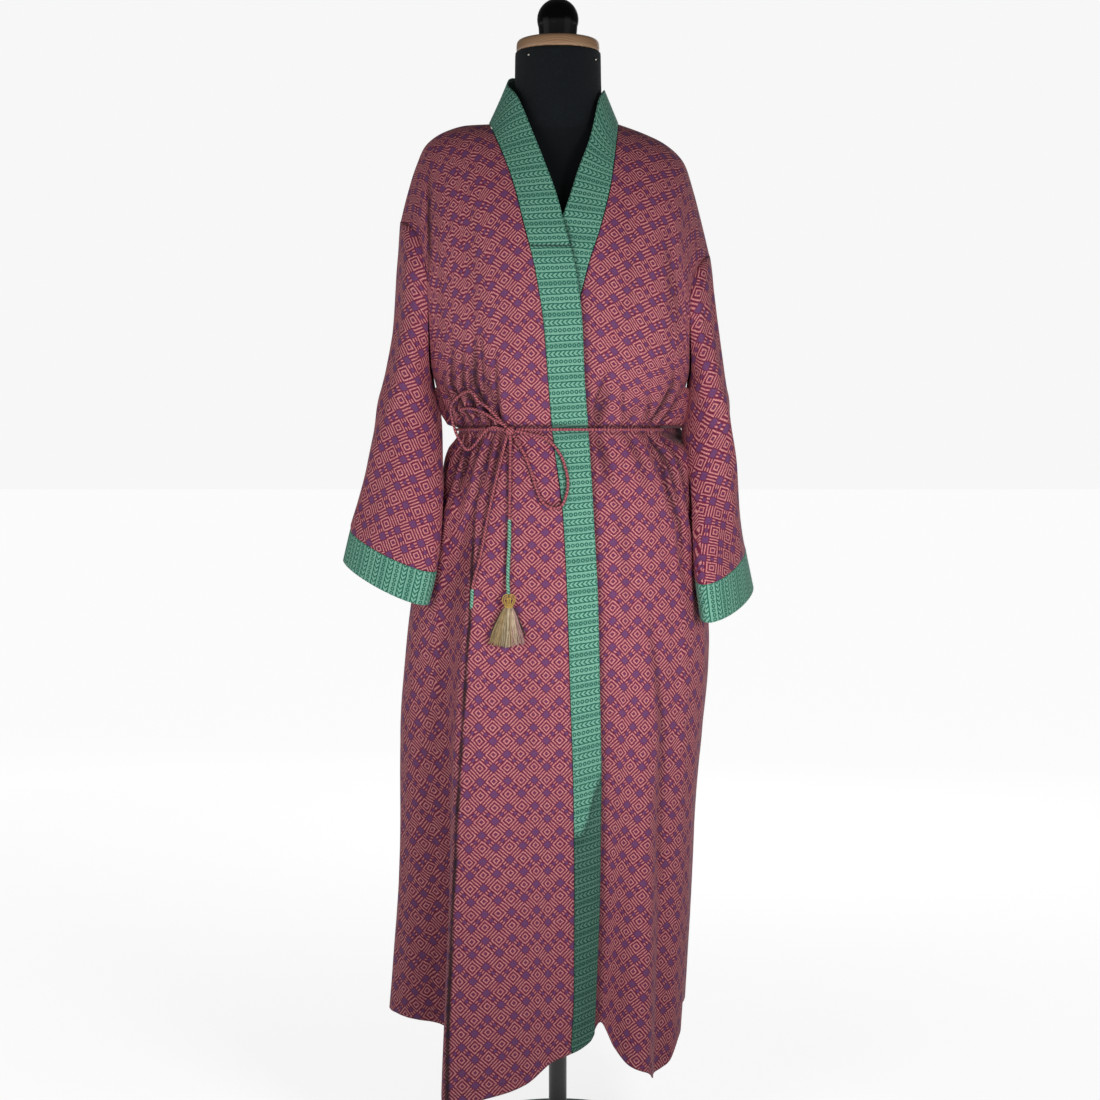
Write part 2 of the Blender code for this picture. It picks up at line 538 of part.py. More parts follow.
def wall(name, surface, across, along, thickness, look, plain=None, joined_from=None):
    """A closed wall about a surface: its grid is pushed out each way by half the thickness.

    The directions come from the plain surface where one is given, which has no gathers, so that the
    two faces of a tight crease stay the same distance apart and never cross. A tube's first and last
    columns are one from the row joined_from on, and stay open before it.
    """
    u, v = np.meshgrid(np.asarray(across, float), np.asarray(along, float), indexing="ij")
    middle = surface(u, v)
    normal = directions(plain or surface, u, v, joined_from)
    on_ridge = (np.abs(middle[..., 1]) < SEAM) & (v > RIDGE_RUN)
    normal[..., 1] = np.where(on_ridge, 0.0, normal[..., 1])
    normal = normal / np.maximum(np.linalg.norm(normal, axis=-1, keepdims=True), 1e-12)
    outer = middle + normal * thickness / 2
    inner = middle - normal * thickness / 2
    points = [tuple(p) for p in outer.reshape(-1, 3)] + [tuple(p) for p in inner.reshape(-1, 3)]
    rows = len(along)
    last = len(across) - 1
    shift = (last + 1) * rows
    joined = rows if joined_from is None else joined_from

    def spot(i, j, layer):
        column = 0 if i == last and j >= joined else i
        return layer * shift + column * rows + j

    def side(i, j, towards):
        ring = [spot(i, j, 0), spot(i, j, 1), spot(i, j + 1, 1), spot(i, j + 1, 0)]
        return ring if towards else ring[::-1]

    faces = []
    for i in range(last):
        for j in range(rows - 1):
            for half in (((i, j), (i + 1, j), (i + 1, j + 1)), ((i, j), (i + 1, j + 1), (i, j + 1))):
                faces.append([spot(a, b, 0) for a, b in half])
                faces.append([spot(a, b, 1) for a, b in reversed(half)])
        faces.append([spot(i, 0, 0), spot(i, 0, 1), spot(i + 1, 0, 1), spot(i + 1, 0, 0)])
        end = rows - 1
        faces.append([spot(i, end, 1), spot(i, end, 0), spot(i + 1, end, 0), spot(i + 1, end, 1)])
    for j in range(min(joined, rows - 1)):
        faces.append(side(0, j, False))
        faces.append(side(last, j, True))
    return solid(name, points, faces, look)


def directions(shape, u, v, joined_from):
    """The surface's normals at a grid, from small steps each way; a tube's joined columns share theirs."""
    small = 1e-4
    side_u = shape(u + small, v) - shape(u - small, v)
    lower = np.maximum(v - small, v.min())
    upper = np.minimum(v + small, v.max())
    side_v = shape(u, upper) - shape(u, lower)
    normal = np.cross(side_u, side_v)
    if joined_from is not None:
        normal[0, joined_from:] = normal[0, joined_from:] + normal[-1, joined_from:]
    return normal


def solid(name, points, faces, look):
    """A mesh object with its faces turned outwards and a plain material."""
    mesh = bpy.data.meshes.new(name)
    mesh.from_pydata([Vector(p) for p in points], [], faces)
    work = bmesh.new()
    work.from_mesh(mesh)
    loose = [vertex for vertex in work.verts if not vertex.link_faces]
    bmesh.ops.delete(work, geom=loose, context="VERTS")
    bmesh.ops.recalc_face_normals(work, faces=work.faces)
    if work.calc_volume(signed=True) < 0:
        bmesh.ops.reverse_faces(work, faces=work.faces)
    work.to_mesh(mesh)
    work.free()
    item = bpy.data.objects.new(name, mesh)
    bpy.context.scene.collection.objects.link(item)
    dress(item, look)
    return item


def dress(item, look):
    """Give an object a Principled material of its own and smooth shading."""
    colour, rough, metallic = look
    material = bpy.data.materials.new(item.name)
    material.use_nodes = True
    shader = material.node_tree.nodes["Principled BSDF"]
    shader.inputs["Base Color"].default_value = colour
    shader.inputs["Roughness"].default_value = rough
    shader.inputs["Metallic"].default_value = metallic
    item.data.materials.append(material)
    if item.type == "MESH":
        item.data.shade_smooth()
        item.data.set_sharp_from_angle(angle=math.radians(40))


def columns(first, last, widest):
    """Angles from one seam to another: three on each gather, and enough between them."""
    places = [first, last]
    low, high = min(first, last), max(first, last)
    for middle, width, *_ in GATHERS:
        for place in (middle - width, middle, middle + width):
            for turned in (place, place + 360.0):
                if low + 1.5 < turned < high - 1.5:
                    places.append(turned)
    places.sort()
    filled = [places[0]]
    for place in places[1:]:
        gap = place - filled[-1]
        if gap < 1.2:
            continue
        parts = math.ceil(gap / widest)
        start = filled[-1]
        filled.extend(start + gap * (k + 1) / parts for k in range(parts))
    return filled


def body_rows():
    """Heights up the robe as one run: 0 to 1 up the skirt, 1 to 2 at the waist, 2 to 3 up the chest."""
    waist = [1.0 + (z - BELT_Z) / (UNDERARM_Z - BELT_Z) for z in WAIST_ROWS]
    return list(SKIRT_ROWS) + waist + [2.0 + v for v in CHEST_ROWS]


def skirt_height(run, angle):
    """The height of a run up to 2 at a ring angle."""
    hem = HEM.at("z", angle_side(angle))
    waist = BELT_Z + (run - 1.0) * (UNDERARM_Z - BELT_Z)
    return np.where(run <= 1.0, hem + (BELT_Z - hem) * np.clip(run, 0.0, 1.0), waist)


def front_surface(side, gathered=1.0):
    """The whole front of one side as a function of s and the run up it."""
    def surface(s, run):
        angle = front_angle(side, s, BELT_Z + 0 * s)
        z = skirt_height(np.minimum(run, 2.0), angle)
        angle = front_angle(side, s, z)
        z = skirt_height(np.minimum(run, 2.0), angle)
        low = ring_point(side, angle, z, gathered)
        high = chest_point(side, s, np.clip(run - 2.0, 0.0, 1.0), gathered)
        return np.where((run <= 2.0)[..., None], low, high)
    return surface


def back_surface(gathered=1.0):
    """The whole back as a function of s, -1 at the right side to 1 at the left, and the run up it."""
    def surface(s, run):
        angle = 180.0 - 90.0 * s
        z = skirt_height(np.minimum(run, 2.0), angle)
        low = ring_point(None, angle, z, gathered)
        high = back_point(s, np.clip(run - 2.0, 0.0, 1.0), gathered)
        return np.where((run <= 2.0)[..., None], low, high)
    return surface


def held_off_ridge(surface, way):
    """A surface that stops half a seam short of the shoulder ridge."""
    def short(s, run):
        point = np.array(surface(s, run))
        point[..., 1] = way * np.maximum(way * point[..., 1], SEAM / 2)
        return np.where((run > RIDGE_RUN)[..., None], point, surface(s, run))
    return short


def front_panel(side, name):
    """One front, from its band's seam to the side seam, armhole and shoulder ridge."""
    start = FIRST_ANGLE[side]
    end = 90.0 * side
    across = sorted((angle - start) / (end - start) for angle in columns(start, end, COLUMN_WIDTH))
    across[0] = SIDE_INSET
    across[-1] = 1.0 - SIDE_INSET
    surface = held_off_ridge(front_surface(side), -1)
    return wall(name, surface, across, body_rows(), CLOTH, CLOTH_LOOK, front_surface(side, 0.0))


def back_panel():
    """The back, from side seam to side seam and up to the ridges and the back neck."""
    across = [(180.0 - angle) / 90.0 for angle in columns(90.0, 270.0, BACK_COLUMN_WIDTH)]
    across = [s for s in across if abs(abs(s) - NECK_SHARE) > NECK_CORNER_CLEAR]
    across = sorted(across + [-NECK_SHARE, NECK_SHARE])
    across[0] = -1.0 + SIDE_INSET
    across[-1] = 1.0 - SIDE_INSET
    surface = held_off_ridge(back_surface(), 1)
    return wall("back", surface, across, body_rows(), CLOTH, CLOTH_LOOK, back_surface(0.0))


def run_at(z):
    """The run of a height on the chest's inner edge."""
    return 2.0 + (z - UNDERARM_Z) / (NECK_SIDE_Z - UNDERARM_Z)


def lower_band(side, name, top_z):
    """The band down one front, from its joint to the hem."""
    top = run_at(top_z) - 0.0012
    rows = [r for r in body_rows() if r < top - 0.03] + [top]
    return wall(name, front_surface(side), (-1.0, -0.5, -0.010), rows, BAND_WALL, GREEN_LOOK)


def neck_seam(run):
    """The neck band's sewn edge, which follows the fronts and the back neck."""
    fronts = {}
    for side in (RIGHT, LEFT):
        v = (NECK_BAND.at("seam_z", run) - UNDERARM_Z) / (NECK_SIDE_Z - UNDERARM_Z)
        fronts[side] = chest_point(side, np.zeros_like(run), v)
    turn = np.clip((run - 1.0), 0.0, 1.0) * math.pi
    right = RIDGE[RIGHT].at("x", 0.0)
    left = RIDGE[LEFT].at("x", 0.0)
    cos = np.cos(turn)
    x = np.where(cos > 0, -right * cos, -left * cos)
    around = np.stack([x, BACK_NECK_DEPTH * np.sin(turn), NECK_SIDE_Z - BACK_NECK_DROP * np.sin(turn)], -1)
    return np.where((run < 1.0)[..., None], fronts[RIGHT],
                    np.where((run > 2.0)[..., None], fronts[LEFT], around))


def neck_band():
    """The band round the neck, from its joint on the right front to that on the left."""
    def surface(u, run):
        seam = neck_seam(run)
        free = np.stack([NECK_BAND.at(axis, run) for axis in "xyz"], -1)
        v = (NECK_BAND.at("z", run) - UNDERARM_Z) / (NECK_SIDE_Z - UNDERARM_Z)
        for side, lies in ((RIGHT, 1.0 - fade(run, 0.15, 0.60)), (LEFT, fade(run, 2.30, 2.65))):
            on_chest = chest_point(side, -np.ones_like(run), v)
            free = free + (on_chest - free) * lies[..., None]
        width = np.linalg.norm(free - seam, axis=-1)
        lift = NECK_SEAT_FRONT + (NECK_SEAT_BACK - NECK_SEAT_FRONT) * fade(0.9 - np.abs(run - 1.5), 0.0, 0.5)
        share = 1.0 - (1.0 - u) * (1.0 - lift / width) - lift / width
        return free + (seam - free) * share[..., None]
    rows = np.concatenate([np.linspace(0.0, 1.0, 12), np.linspace(1.0, 2.0, 13)[1:],
                           np.linspace(2.0, 3.0, 12)[1:]])
    rows = sorted(set(np.round(rows, 6)))
    return wall("band_neck", surface, (0.0, 0.5, 1.0), rows, BAND_WALL, GREEN_LOOK)


def sleeve_head(side, turn, share):
    """An arc of the sleeve beside the armhole, from its front seam round the outside to its back seam."""
    hole = ARMHOLE[side]
    seam_depth = hole.at("depth", share)
    closed = SLEEVE[side].at("depth", 0.0) * (1.0 - fade(share, 0.0, 0.6))
    deep = np.maximum(np.hypot(1.04 * seam_depth, closed), 1e-6)
    start = np.arcsin(np.clip(seam_depth / deep, 0.0, 1.0))
    seam_x = hole.at("x", share) + SLEEVE_GAP + UNDERARM_GAP * (1.0 - fade(share, 0.15, 0.55))
    outer = SLEEVE_HEAD[side].at("outer", share)
    half = (outer - seam_x) / (1.0 + np.cos(start))
    angle = start + turn * (1.0 - start / math.pi)
    return np.stack([side * (outer - half - half * np.cos(angle)), -deep * np.sin(angle),
                     hole.at("z", share) + 0.0 * turn], -1)


def sleeve_ring(side, turn, run):
    """The sleeve's ring at a run from the underarm (0) past the cuff's seam (1)."""
    table = SLEEVE[side]
    outer = table.at("outer", run)
    inner = table.at("inner", run)
    deep = table.at("depth", run)
    lean = np.radians(table.at("turn", run))
    half = (outer - inner) / 2
    long_half = np.sqrt(np.maximum(half ** 2 - (deep * np.sin(lean)) ** 2, 1e-6)) / np.cos(lean)
    rise = (table.at("outer_z", run) - table.at("inner_z", run)) / 2
    cos = np.cos(turn)
    sin = np.sin(turn)
    out = (outer + inner) / 2 - cos * long_half * np.cos(lean) + sin * deep * np.sin(lean)
    y = table.at("middle_y", run) - cos * long_half * np.sin(lean) - sin * deep * np.cos(lean)
    z = (table.at("outer_z", run) + table.at("inner_z", run)) / 2 - cos * rise
    return np.stack([side * out, y, z], -1)


def clear_of_body(point):
    """Push a sleeve's point out of the skirt that it rests against."""
    x, y, z = point[..., 0], point[..., 1], np.minimum(point[..., 2], UNDERARM_Z)
    wide = half_width(np.sign(x), z)
    deep = np.where(y < 0, BODY.at("front", z), BODY.at("back", z))
    size = ((np.abs(x) / wide) ** RING_POWER + (np.abs(y) / deep) ** RING_POWER) ** (1 / RING_POWER)
    angle = np.degrees(np.arctan2(np.sign(x) * (np.abs(x) / wide) ** (RING_POWER / 2),
                                  -np.sign(y) * (np.abs(y) / deep) ** (RING_POWER / 2)))
    out, _ = fold_depth(angle, z)
    clear = SLEEVE_CLEAR * fade(UNDERARM_Z - z, 0.0, 0.03) + SLEEVE_GAP + UNDERARM_GAP
    need = 1.0 + (np.maximum(out, 0.0) + clear) / np.hypot(x, y)
    push = np.maximum(need / size, 1.0)
    return np.stack([x * push, y * push, point[..., 2]], -1)


def sleeve_surface(side):
    """A sleeve by the turn round it and the run down it: -1 at the armhole's top, 0 at the underarm."""
    def surface(turn, run):
        head = sleeve_head(side, turn, np.clip(-run, 0.0, 1.0))
        ring = clear_of_body(sleeve_ring(side, turn, np.maximum(run, 0.0)))
        return np.where((run < 0.0)[..., None], head, ring)
    return surface


def sleeve(side, word):
    """A sleeve, open beside its armhole and closed below it, and the cuff at its end."""
    surface = sleeve_surface(side)
    turns = np.linspace(0.0, 2 * math.pi, SLEEVE_TURNS + 1)
    wall("sleeve_" + word, surface, turns, SLEEVE_ROWS, CLOTH, CLOTH_LOOK,
         joined_from=SLEEVE_ROWS.index(0.0))
    wall("cuff_" + word, surface, turns, CUFF_ROWS, BAND_WALL, GREEN_LOOK, joined_from=0)


def smooth_route(points, step):
    """Points at an even step on a smooth curve through the route's own points."""
    nodes = [Vector(p) for p in points]
    nodes = [nodes[0] * 2 - nodes[1]] + nodes + [nodes[-1] * 2 - nodes[-2]]
    fine = []
    for k in range(1, len(nodes) - 2):
        a, b, c, d = nodes[k - 1:k + 3]
        for part in range(12):
            t = part / 12
            fine.append(0.5 * (2 * b + (c - a) * t + (2 * a - 5 * b + 4 * c - d) * t * t
                               + (3 * b - a - 3 * c + d) * t ** 3))
    fine.append(nodes[-2])
    lengths = [0.0]
    for a, b in zip(fine, fine[1:]):
        lengths.append(lengths[-1] + (b - a).length)
    count = max(3, round(lengths[-1] / step) + 1)
    xyz = np.array(fine)
    places = np.linspace(0.0, lengths[-1], count)
    return [Vector([np.interp(s, lengths, xyz[:, k]) for k in range(3)]) for s in places]


def cord(name, points, diameter, look):
    """A tube along a route, its ends closed."""
    route = smooth_route(points, diameter * CORD_STEP)
    data = bpy.data.curves.new(name, "CURVE")
    data.dimensions = "3D"
    data.bevel_depth = diameter / 2
    data.bevel_resolution = 2
    data.use_fill_caps = True
    spline = data.splines.new("POLY")
    spline.points.add(len(route) - 1)
    for target, point in zip(spline.points, route):
        target.co = (*point, 1.0)
    item = bpy.data.objects.new(name, data)
    bpy.context.scene.collection.objects.link(item)
    dress(item, look)
    return item


def laid(rows):
    """A route on the robe's front: each point stands off the cloth by its lift."""
    return [(x, cloth_y(x, z) - lift, z) for x, z, lift in rows]


def belt():
    """The belt's cord: round the waist, two bow loops, a doubled strand and two ends, and the knot."""
    knot_angle = float(ring_angle(np.asarray(KNOT_AT[0]), np.asarray(BELT_Z)))
    angles = np.linspace(knot_angle + BELT_ENDS, knot_angle + 360.0 - BELT_ENDS, 66)
    x, y, nx, ny = ring_base(angle_side(angles), np.full_like(angles, BELT_Z))
    reach = BELT_LIFT + BELT_EASE * (np.cos(np.radians(angles)) > 0)
    route = [(a + n * r, b + m * r, BELT_Z + BELT_RISE) for a, b, n, m, r in zip(x, y, nx, ny, reach)]
    cord("belt_waist", route, CORD, CLOTH_LOOK)
    cord("belt_loop_right", laid(LOOP_RIGHT), CORD, CLOTH_LOOK)
    cord("belt_strand", laid(STRAND), CORD, CLOTH_LOOK)
    cord("belt_loop_left", laid(LOOP_LEFT), CORD, CLOTH_LOOK)
    cord("belt_end_long", laid(END_LONG), CORD, CLOTH_LOOK)
    cord("belt_end_short", laid(END_SHORT), CORD, CLOTH_LOOK)
    cord("belt_tip_long", laid(TIP_LONG), TIP, GREEN_LOOK)
    cord("belt_tip_short", laid(TIP_SHORT), TIP, GREEN_LOOK)
    work = bmesh.new()
    bmesh.ops.create_icosphere(work, subdivisions=2, radius=1.0)
    centre = Vector((KNOT_AT[0], cloth_y(*KNOT_AT) - KNOT_LIFT, KNOT_AT[1]))
    for vertex in work.verts:
        vertex.co = centre + Vector(c * s for c, s in zip(vertex.co, KNOT_SIZE))
    points = [tuple(v.co) for v in work.verts]
    faces = [[v.index for v in f.verts] for f in work.faces]
    work.free()
    solid("belt_knot", points, faces, CLOTH_LOOK)


def turned(name, profile, centre_x, centre_y, steps, look):
    """A solid turned about an upright axis from (height, radius) pairs, closed at both ends."""
    points = []
    faces = []
    for z, radius in profile:
        for k in range(steps):
            angle = 2 * math.pi * k / steps
            points.append((centre_x + radius * math.cos(angle), centre_y + radius * math.sin(angle), z))
    rings = len(profile)
    for j in range(rings - 1):
        for k in range(steps):
            nxt = (k + 1) % steps
            faces.append([j * steps + k, j * steps + nxt, (j + 1) * steps + nxt, (j + 1) * steps + k])
    faces.append(list(range(steps))[::-1])
    faces.append([(rings - 1) * steps + k for k in range(steps)])
    return solid(name, points, faces, look)


def tassel():
    """The tassel: a turned head whose foot holds the roots of its strands."""
    y = cloth_y(TASSEL_X, TASSEL_TOP_Z) - TASSEL_LIFT
    profile = [(TASSEL_TOP_Z - drop, radius) for drop, radius in reversed(TASSEL_HEAD)]
    head = turned("tassel", profile, TASSEL_X, y, 16, GOLD_LOOK)
    foot = TASSEL_TOP_Z - TASSEL_HEAD[-1][0]
    points = []
    faces = []
    for k in range(TASSEL_STRANDS):
        angle = k * 2.399963
        share = math.sqrt((k + 0.5) / TASSEL_STRANDS)
        across = math.cos(angle) * share
        out = math.sin(angle) * share
        bottom_z = foot - TASSEL_LENGTH + 0.004 * math.sin(k * 1.7)
        low_x = TASSEL_X + TASSEL_TRAIL + across * TASSEL_FLARE
        low_y = cloth_y(low_x, bottom_z) - 0.0065 + (out - 1.0) * 0.0045
        first = len(points)
        for level in range(4):
            t = level / 3
            bend = t ** 0.8
            cx = TASSEL_X + across * 0.0058 + (low_x - TASSEL_X - across * 0.0058) * bend
            cy = y + out * 0.0058 + (low_y - y - out * 0.0058) * t
            cz = foot + 0.0015 + (bottom_z - foot - 0.0015) * t
            for corner in range(3):
                turn = 2 * math.pi * corner / 3 + k
                points.append((cx + STRAND_RADIUS * math.cos(turn), cy + STRAND_RADIUS * math.sin(turn), cz))
        for level in range(3):
            for corner in range(3):
                nxt = (corner + 1) % 3
                base = first + 3 * level
                faces.append([base + corner, base + nxt, base + 3 + nxt, base + 3 + corner])
        faces.append([first, first + 1, first + 2])
        faces.append([first + 11, first + 10, first + 9])
    strands = solid("tassel_strands", points, faces, GOLD_LOOK)
    strands.hide_render = True
    strands.display_type = "WIRE"
    union = head.modifiers.new("strands", "BOOLEAN")
    union.operation = "UNION"
    union.object = strands
    union.use_self = True


def torso():
    """The limbless form: bust, waist, hips and neck as one smooth closed body."""
    steps = TORSO_STEPS
    heights = np.concatenate([np.linspace(TORSO_BOTTOM_Z, 1.25, 10), TORSO.rows[9:, 0]])
    points = []
    faces = []
    for z in heights:
        wide, front, back, square = (float(TORSO.at(name, z)) for name in TORSO.names[1:])
        power = 2.0 / square
        for k in range(steps):
            angle = 2 * math.pi * k / steps
            sin, cos = math.sin(angle), math.cos(angle)
            deep = front if cos > 0 else back
            points.append((FORM_X + wide * math.copysign(abs(sin) ** power, sin),
                           -deep * math.copysign(abs(cos) ** power, cos), z))
    for j in range(len(heights) - 1):
        for k in range(steps):
            nxt = (k + 1) % steps
            faces.append([j * steps + k, j * steps + nxt, (j + 1) * steps + nxt, (j + 1) * steps + k])
    faces.append(list(range(steps))[::-1])
    faces.append([(len(heights) - 1) * steps + k for k in range(steps)])
    solid("form_torso", points, faces, FORM_LOOK)


def pin(name, x, z):
    """A round pin's head at the form's neck, just off its cloth."""
    wide = float(TORSO.at("wide", z))
    front = float(TORSO.at("front", z))
    share = (x - FORM_X) / wide
    way = Vector((share, -math.sqrt(1.0 - share ** 2), 0.0))
    foot = Vector((FORM_X + wide * way.x, front * way.y, z))
    work = bmesh.new()
    bmesh.ops.create_icosphere(work, subdivisions=1, radius=PIN_RADIUS)
    bmesh.ops.translate(work, verts=work.verts, vec=foot + way * (PIN_RADIUS + SEAM))
    points = [tuple(v.co) for v in work.verts]
    faces = [[v.index for v in f.verts] for f in work.faces]
    work.free()
    solid(name, points, faces, METAL_LOOK)


def form():
    """The dress form and its stand."""
    torso()
    cap_low = NECK_TOP_Z + SEAM
    cap_top = cap_low + CAP_HEIGHT
    cap = [(cap_low, CAP_RADIUS - 0.001), (cap_low + 0.0015, CAP_RADIUS)]
    for share in (0.35, 0.62, 0.84, 0.96, 1.0):
        cap.append((cap_low + CAP_HEIGHT * share, CAP_RADIUS - CAP_DOME * share ** 4))
    turned("neck_cap", cap, FORM_X, 0.0, 36, WOOD_LOOK)
    profile = [(cap_top + SEAM, BALL_NECK_RADIUS), (cap_top + 0.004, BALL_NECK_RADIUS + 0.001)]
    for k in range(7):
        angle = math.radians(BALL_FROM + k * (BALL_TO - BALL_FROM) / 6)
        profile.append((BALL_CENTRE_Z + BALL_RADIUS * math.sin(angle), BALL_RADIUS * math.cos(angle)))
    turned("finial", profile, FORM_X, 0.0, 24, GLOSS_LOOK)
    for name, x, z in PINS:
        pin(name, x, z)
    turned("pole", ((BASE_HEIGHT + SEAM, POLE_RADIUS), (TORSO_BOTTOM_Z - SEAM, POLE_RADIUS)),
           FORM_X, 0.0, 20, METAL_LOOK)
    turned("base", ((0.0, BASE_RADIUS), (BASE_HEIGHT - 0.002, BASE_RADIUS),
                    (BASE_HEIGHT, BASE_RADIUS - 0.002)), 0.0, 0.0, 48, METAL_LOOK)


def clear_scene():
    """Remove whatever the scene holds."""
    for item in list(bpy.data.objects):
        bpy.data.objects.remove(item, do_unlink=True)


def main():
    """Build the robe, its belt and the form."""
    clear_scene()
    form()
    front_panel(RIGHT, "front_right")
    front_panel(LEFT, "front_left")
    back_panel()
    lower_band(RIGHT, "band_right", 1.240)
    lower_band(LEFT, "band_left", 1.170)
    neck_band()
    sleeve(RIGHT, "right")
    sleeve(LEFT, "left")
    belt()
    tassel()


main()
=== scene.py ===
"""Looks for a full-length kimono robe on a limbless dress form.

The CAD model is loaded as a fixed frame. Each sewn piece is laid again here as fine cloth on the same
surfaces, with a thin wall and its printed pattern; the belt is a rolled cord with green tips, and the
tassel, the form and its stand are made in full. Units are metres, +Z is up, the robe opens to -Y, and
right and left are the wearer's.
"""

import logging
import math
from dataclasses import dataclass
from enum import Enum
from typing import Callable, Optional, Sequence, Union

import bmesh
import bpy
import numpy as np
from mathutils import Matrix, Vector


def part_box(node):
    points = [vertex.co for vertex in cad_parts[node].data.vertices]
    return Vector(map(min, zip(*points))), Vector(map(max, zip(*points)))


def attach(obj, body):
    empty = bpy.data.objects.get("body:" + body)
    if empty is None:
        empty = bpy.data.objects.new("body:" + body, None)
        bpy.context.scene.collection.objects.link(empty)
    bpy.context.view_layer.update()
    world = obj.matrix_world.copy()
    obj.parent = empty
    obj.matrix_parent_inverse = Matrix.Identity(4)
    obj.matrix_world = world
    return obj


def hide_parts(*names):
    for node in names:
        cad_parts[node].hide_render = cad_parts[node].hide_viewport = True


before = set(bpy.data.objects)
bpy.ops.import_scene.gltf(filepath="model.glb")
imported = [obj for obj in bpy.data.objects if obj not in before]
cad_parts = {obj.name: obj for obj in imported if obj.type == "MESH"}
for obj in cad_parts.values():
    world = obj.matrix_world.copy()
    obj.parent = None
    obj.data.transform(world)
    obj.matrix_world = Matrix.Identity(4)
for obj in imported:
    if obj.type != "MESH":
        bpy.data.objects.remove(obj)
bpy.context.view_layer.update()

LOG = logging.getLogger("robe")
LOG.setLevel(logging.INFO)

Array = np.ndarray
Item = bpy.types.Object
Surface = Callable[[Array, Array], Array]
Points = Sequence[tuple[float, float, float]]
BODY_NAME = "root"

# Heights of the belt, of the ring at the underarm, and of the neck's two sides
BELT_Z = 1.0
UNDERARM_Z = 1.055
NECK_SIDE_Z = 1.4136

# How square the robe's rings are, the gap at a seam, and how far the left front lies under the right
RING_POWER = 2.3
SEAM = 0.0003
LAP = 0.005

# The corners of a grid's cell in order round it, and the parts in which a smooth line is first worked out
CORNERS = ((0, 0), (1, 0), (1, 1), (0, 1))
CURVE_PARTS = 12


class Side(Enum):
    """The wearer's sides, each with its sign along X."""

    RIGHT = -1
    LEFT = 1

    @property
    def word(self) -> str:
        """The side's word in the names of pieces, nodes and columns."""
        return self.name.lower()


class Slot(Enum):
    """The record's material slots."""

    ROBE = "robe_print"
    BAND = "band_print"
    BELT = "belt_cloth"
    THREAD = "tassel_thread"
    FORM = "form_cloth"
    CAP = "cap_wood"
    BALL = "finial_gloss"
    STAND = "stand_metal"
    PIN = "pin_metal"


class Table:
    """A short table read as smooth curves, placed by its first column."""

    def __init__(self, names: str, rows: Sequence[Sequence[float]]) -> None:
        """Keep the columns' names and the rows in order of the first column."""
        self.names = names.split()
        self.rows = np.array(sorted(rows), float)

    def at(self, name: str, place) -> Array:
        """Read one column on a monotone cubic.

        Args:
            name: the column's name.
            place: where along the first column.

        Returns:
            The column's value there.
        """
        x = self.rows[:, 0]
        y = self.rows[:, self.names.index(name)]
        step = np.diff(x)
        slope = np.diff(y) / step
        tangent = np.zeros_like(y)
        tangent[0] = slope[0]
        tangent[-1] = slope[-1]
        for i in range(1, len(x) - 1):
            if slope[i - 1] * slope[i] > 0:
                near = 2 * step[i] + step[i - 1]
                far = step[i] + 2 * step[i - 1]
                tangent[i] = (near + far) / (near / slope[i - 1] + far / slope[i])
        place = np.clip(np.asarray(place, float), x[0], x[-1])
        i = np.clip(np.searchsorted(x, place, side="right") - 1, 0, len(step) - 1)
        t = (place - x[i]) / step[i]
        start = (1 + 2 * t) * (1 - t) ** 2 * y[i] + t * (1 - t) ** 2 * step[i] * tangent[i]
        end = t * t * (3 - 2 * t) * y[i + 1] + t * t * (t - 1) * step[i] * tangent[i + 1]
        return start + end


# How deep the belt's finest gathers and the cloth's unevenness are, and the walls of cloth and band
FINE_GATHER = 0.0007
RIPPLE = 0.0007
CLOTH_WALL = 0.0012
BAND_WALL = 0.0018

# Where the cloth swells over the belt at the left and the right side, and where it bulges over the
# cord, in degrees from the front; and the half-height of the strip by the cord that has no gathers
SWELL_LEFT = 97.0
SWELL_RIGHT = -92.0
BULGE_AT = 110.0
CORD_STRIP = 0.0036

# Between which shares of the chest's height the creases fade, and from what height the lap ends
RIDGE_CALM = (0.8, 0.97)
LAP_TOP_Z = 1.262

# Half-widths and depths of the robe round the form at each height
BODY = Table("z right left front back", (
    (0.13, 0.2395, 0.164, 0.16, 0.186), (0.26, 0.229, 0.1725, 0.157, 0.181),
    (0.39, 0.2195, 0.18, 0.154, 0.175), (0.49, 0.217, 0.186, 0.151, 0.17),
    (0.58, 0.2165, 0.1955, 0.149, 0.166), (0.71, 0.208, 0.206, 0.145, 0.16),
    (0.77, 0.201, 0.203, 0.141, 0.155), (0.82, 0.1911, 0.196, 0.136, 0.149),
    (0.876, 0.1771, 0.187, 0.129, 0.142), (0.932, 0.159, 0.1763, 0.121, 0.133),
    (0.96, 0.1493, 0.166, 0.116, 0.125), (0.986, 0.1396, 0.147, 0.1105, 0.114),
    (1.0, 0.1365, 0.138, 0.1085, 0.109), (1.012, 0.141, 0.143, 0.1105, 0.113),
    (1.03, 0.153, 0.157, 0.115, 0.121), (1.055, 0.166, 0.172, 0.1205, 0.131),
))

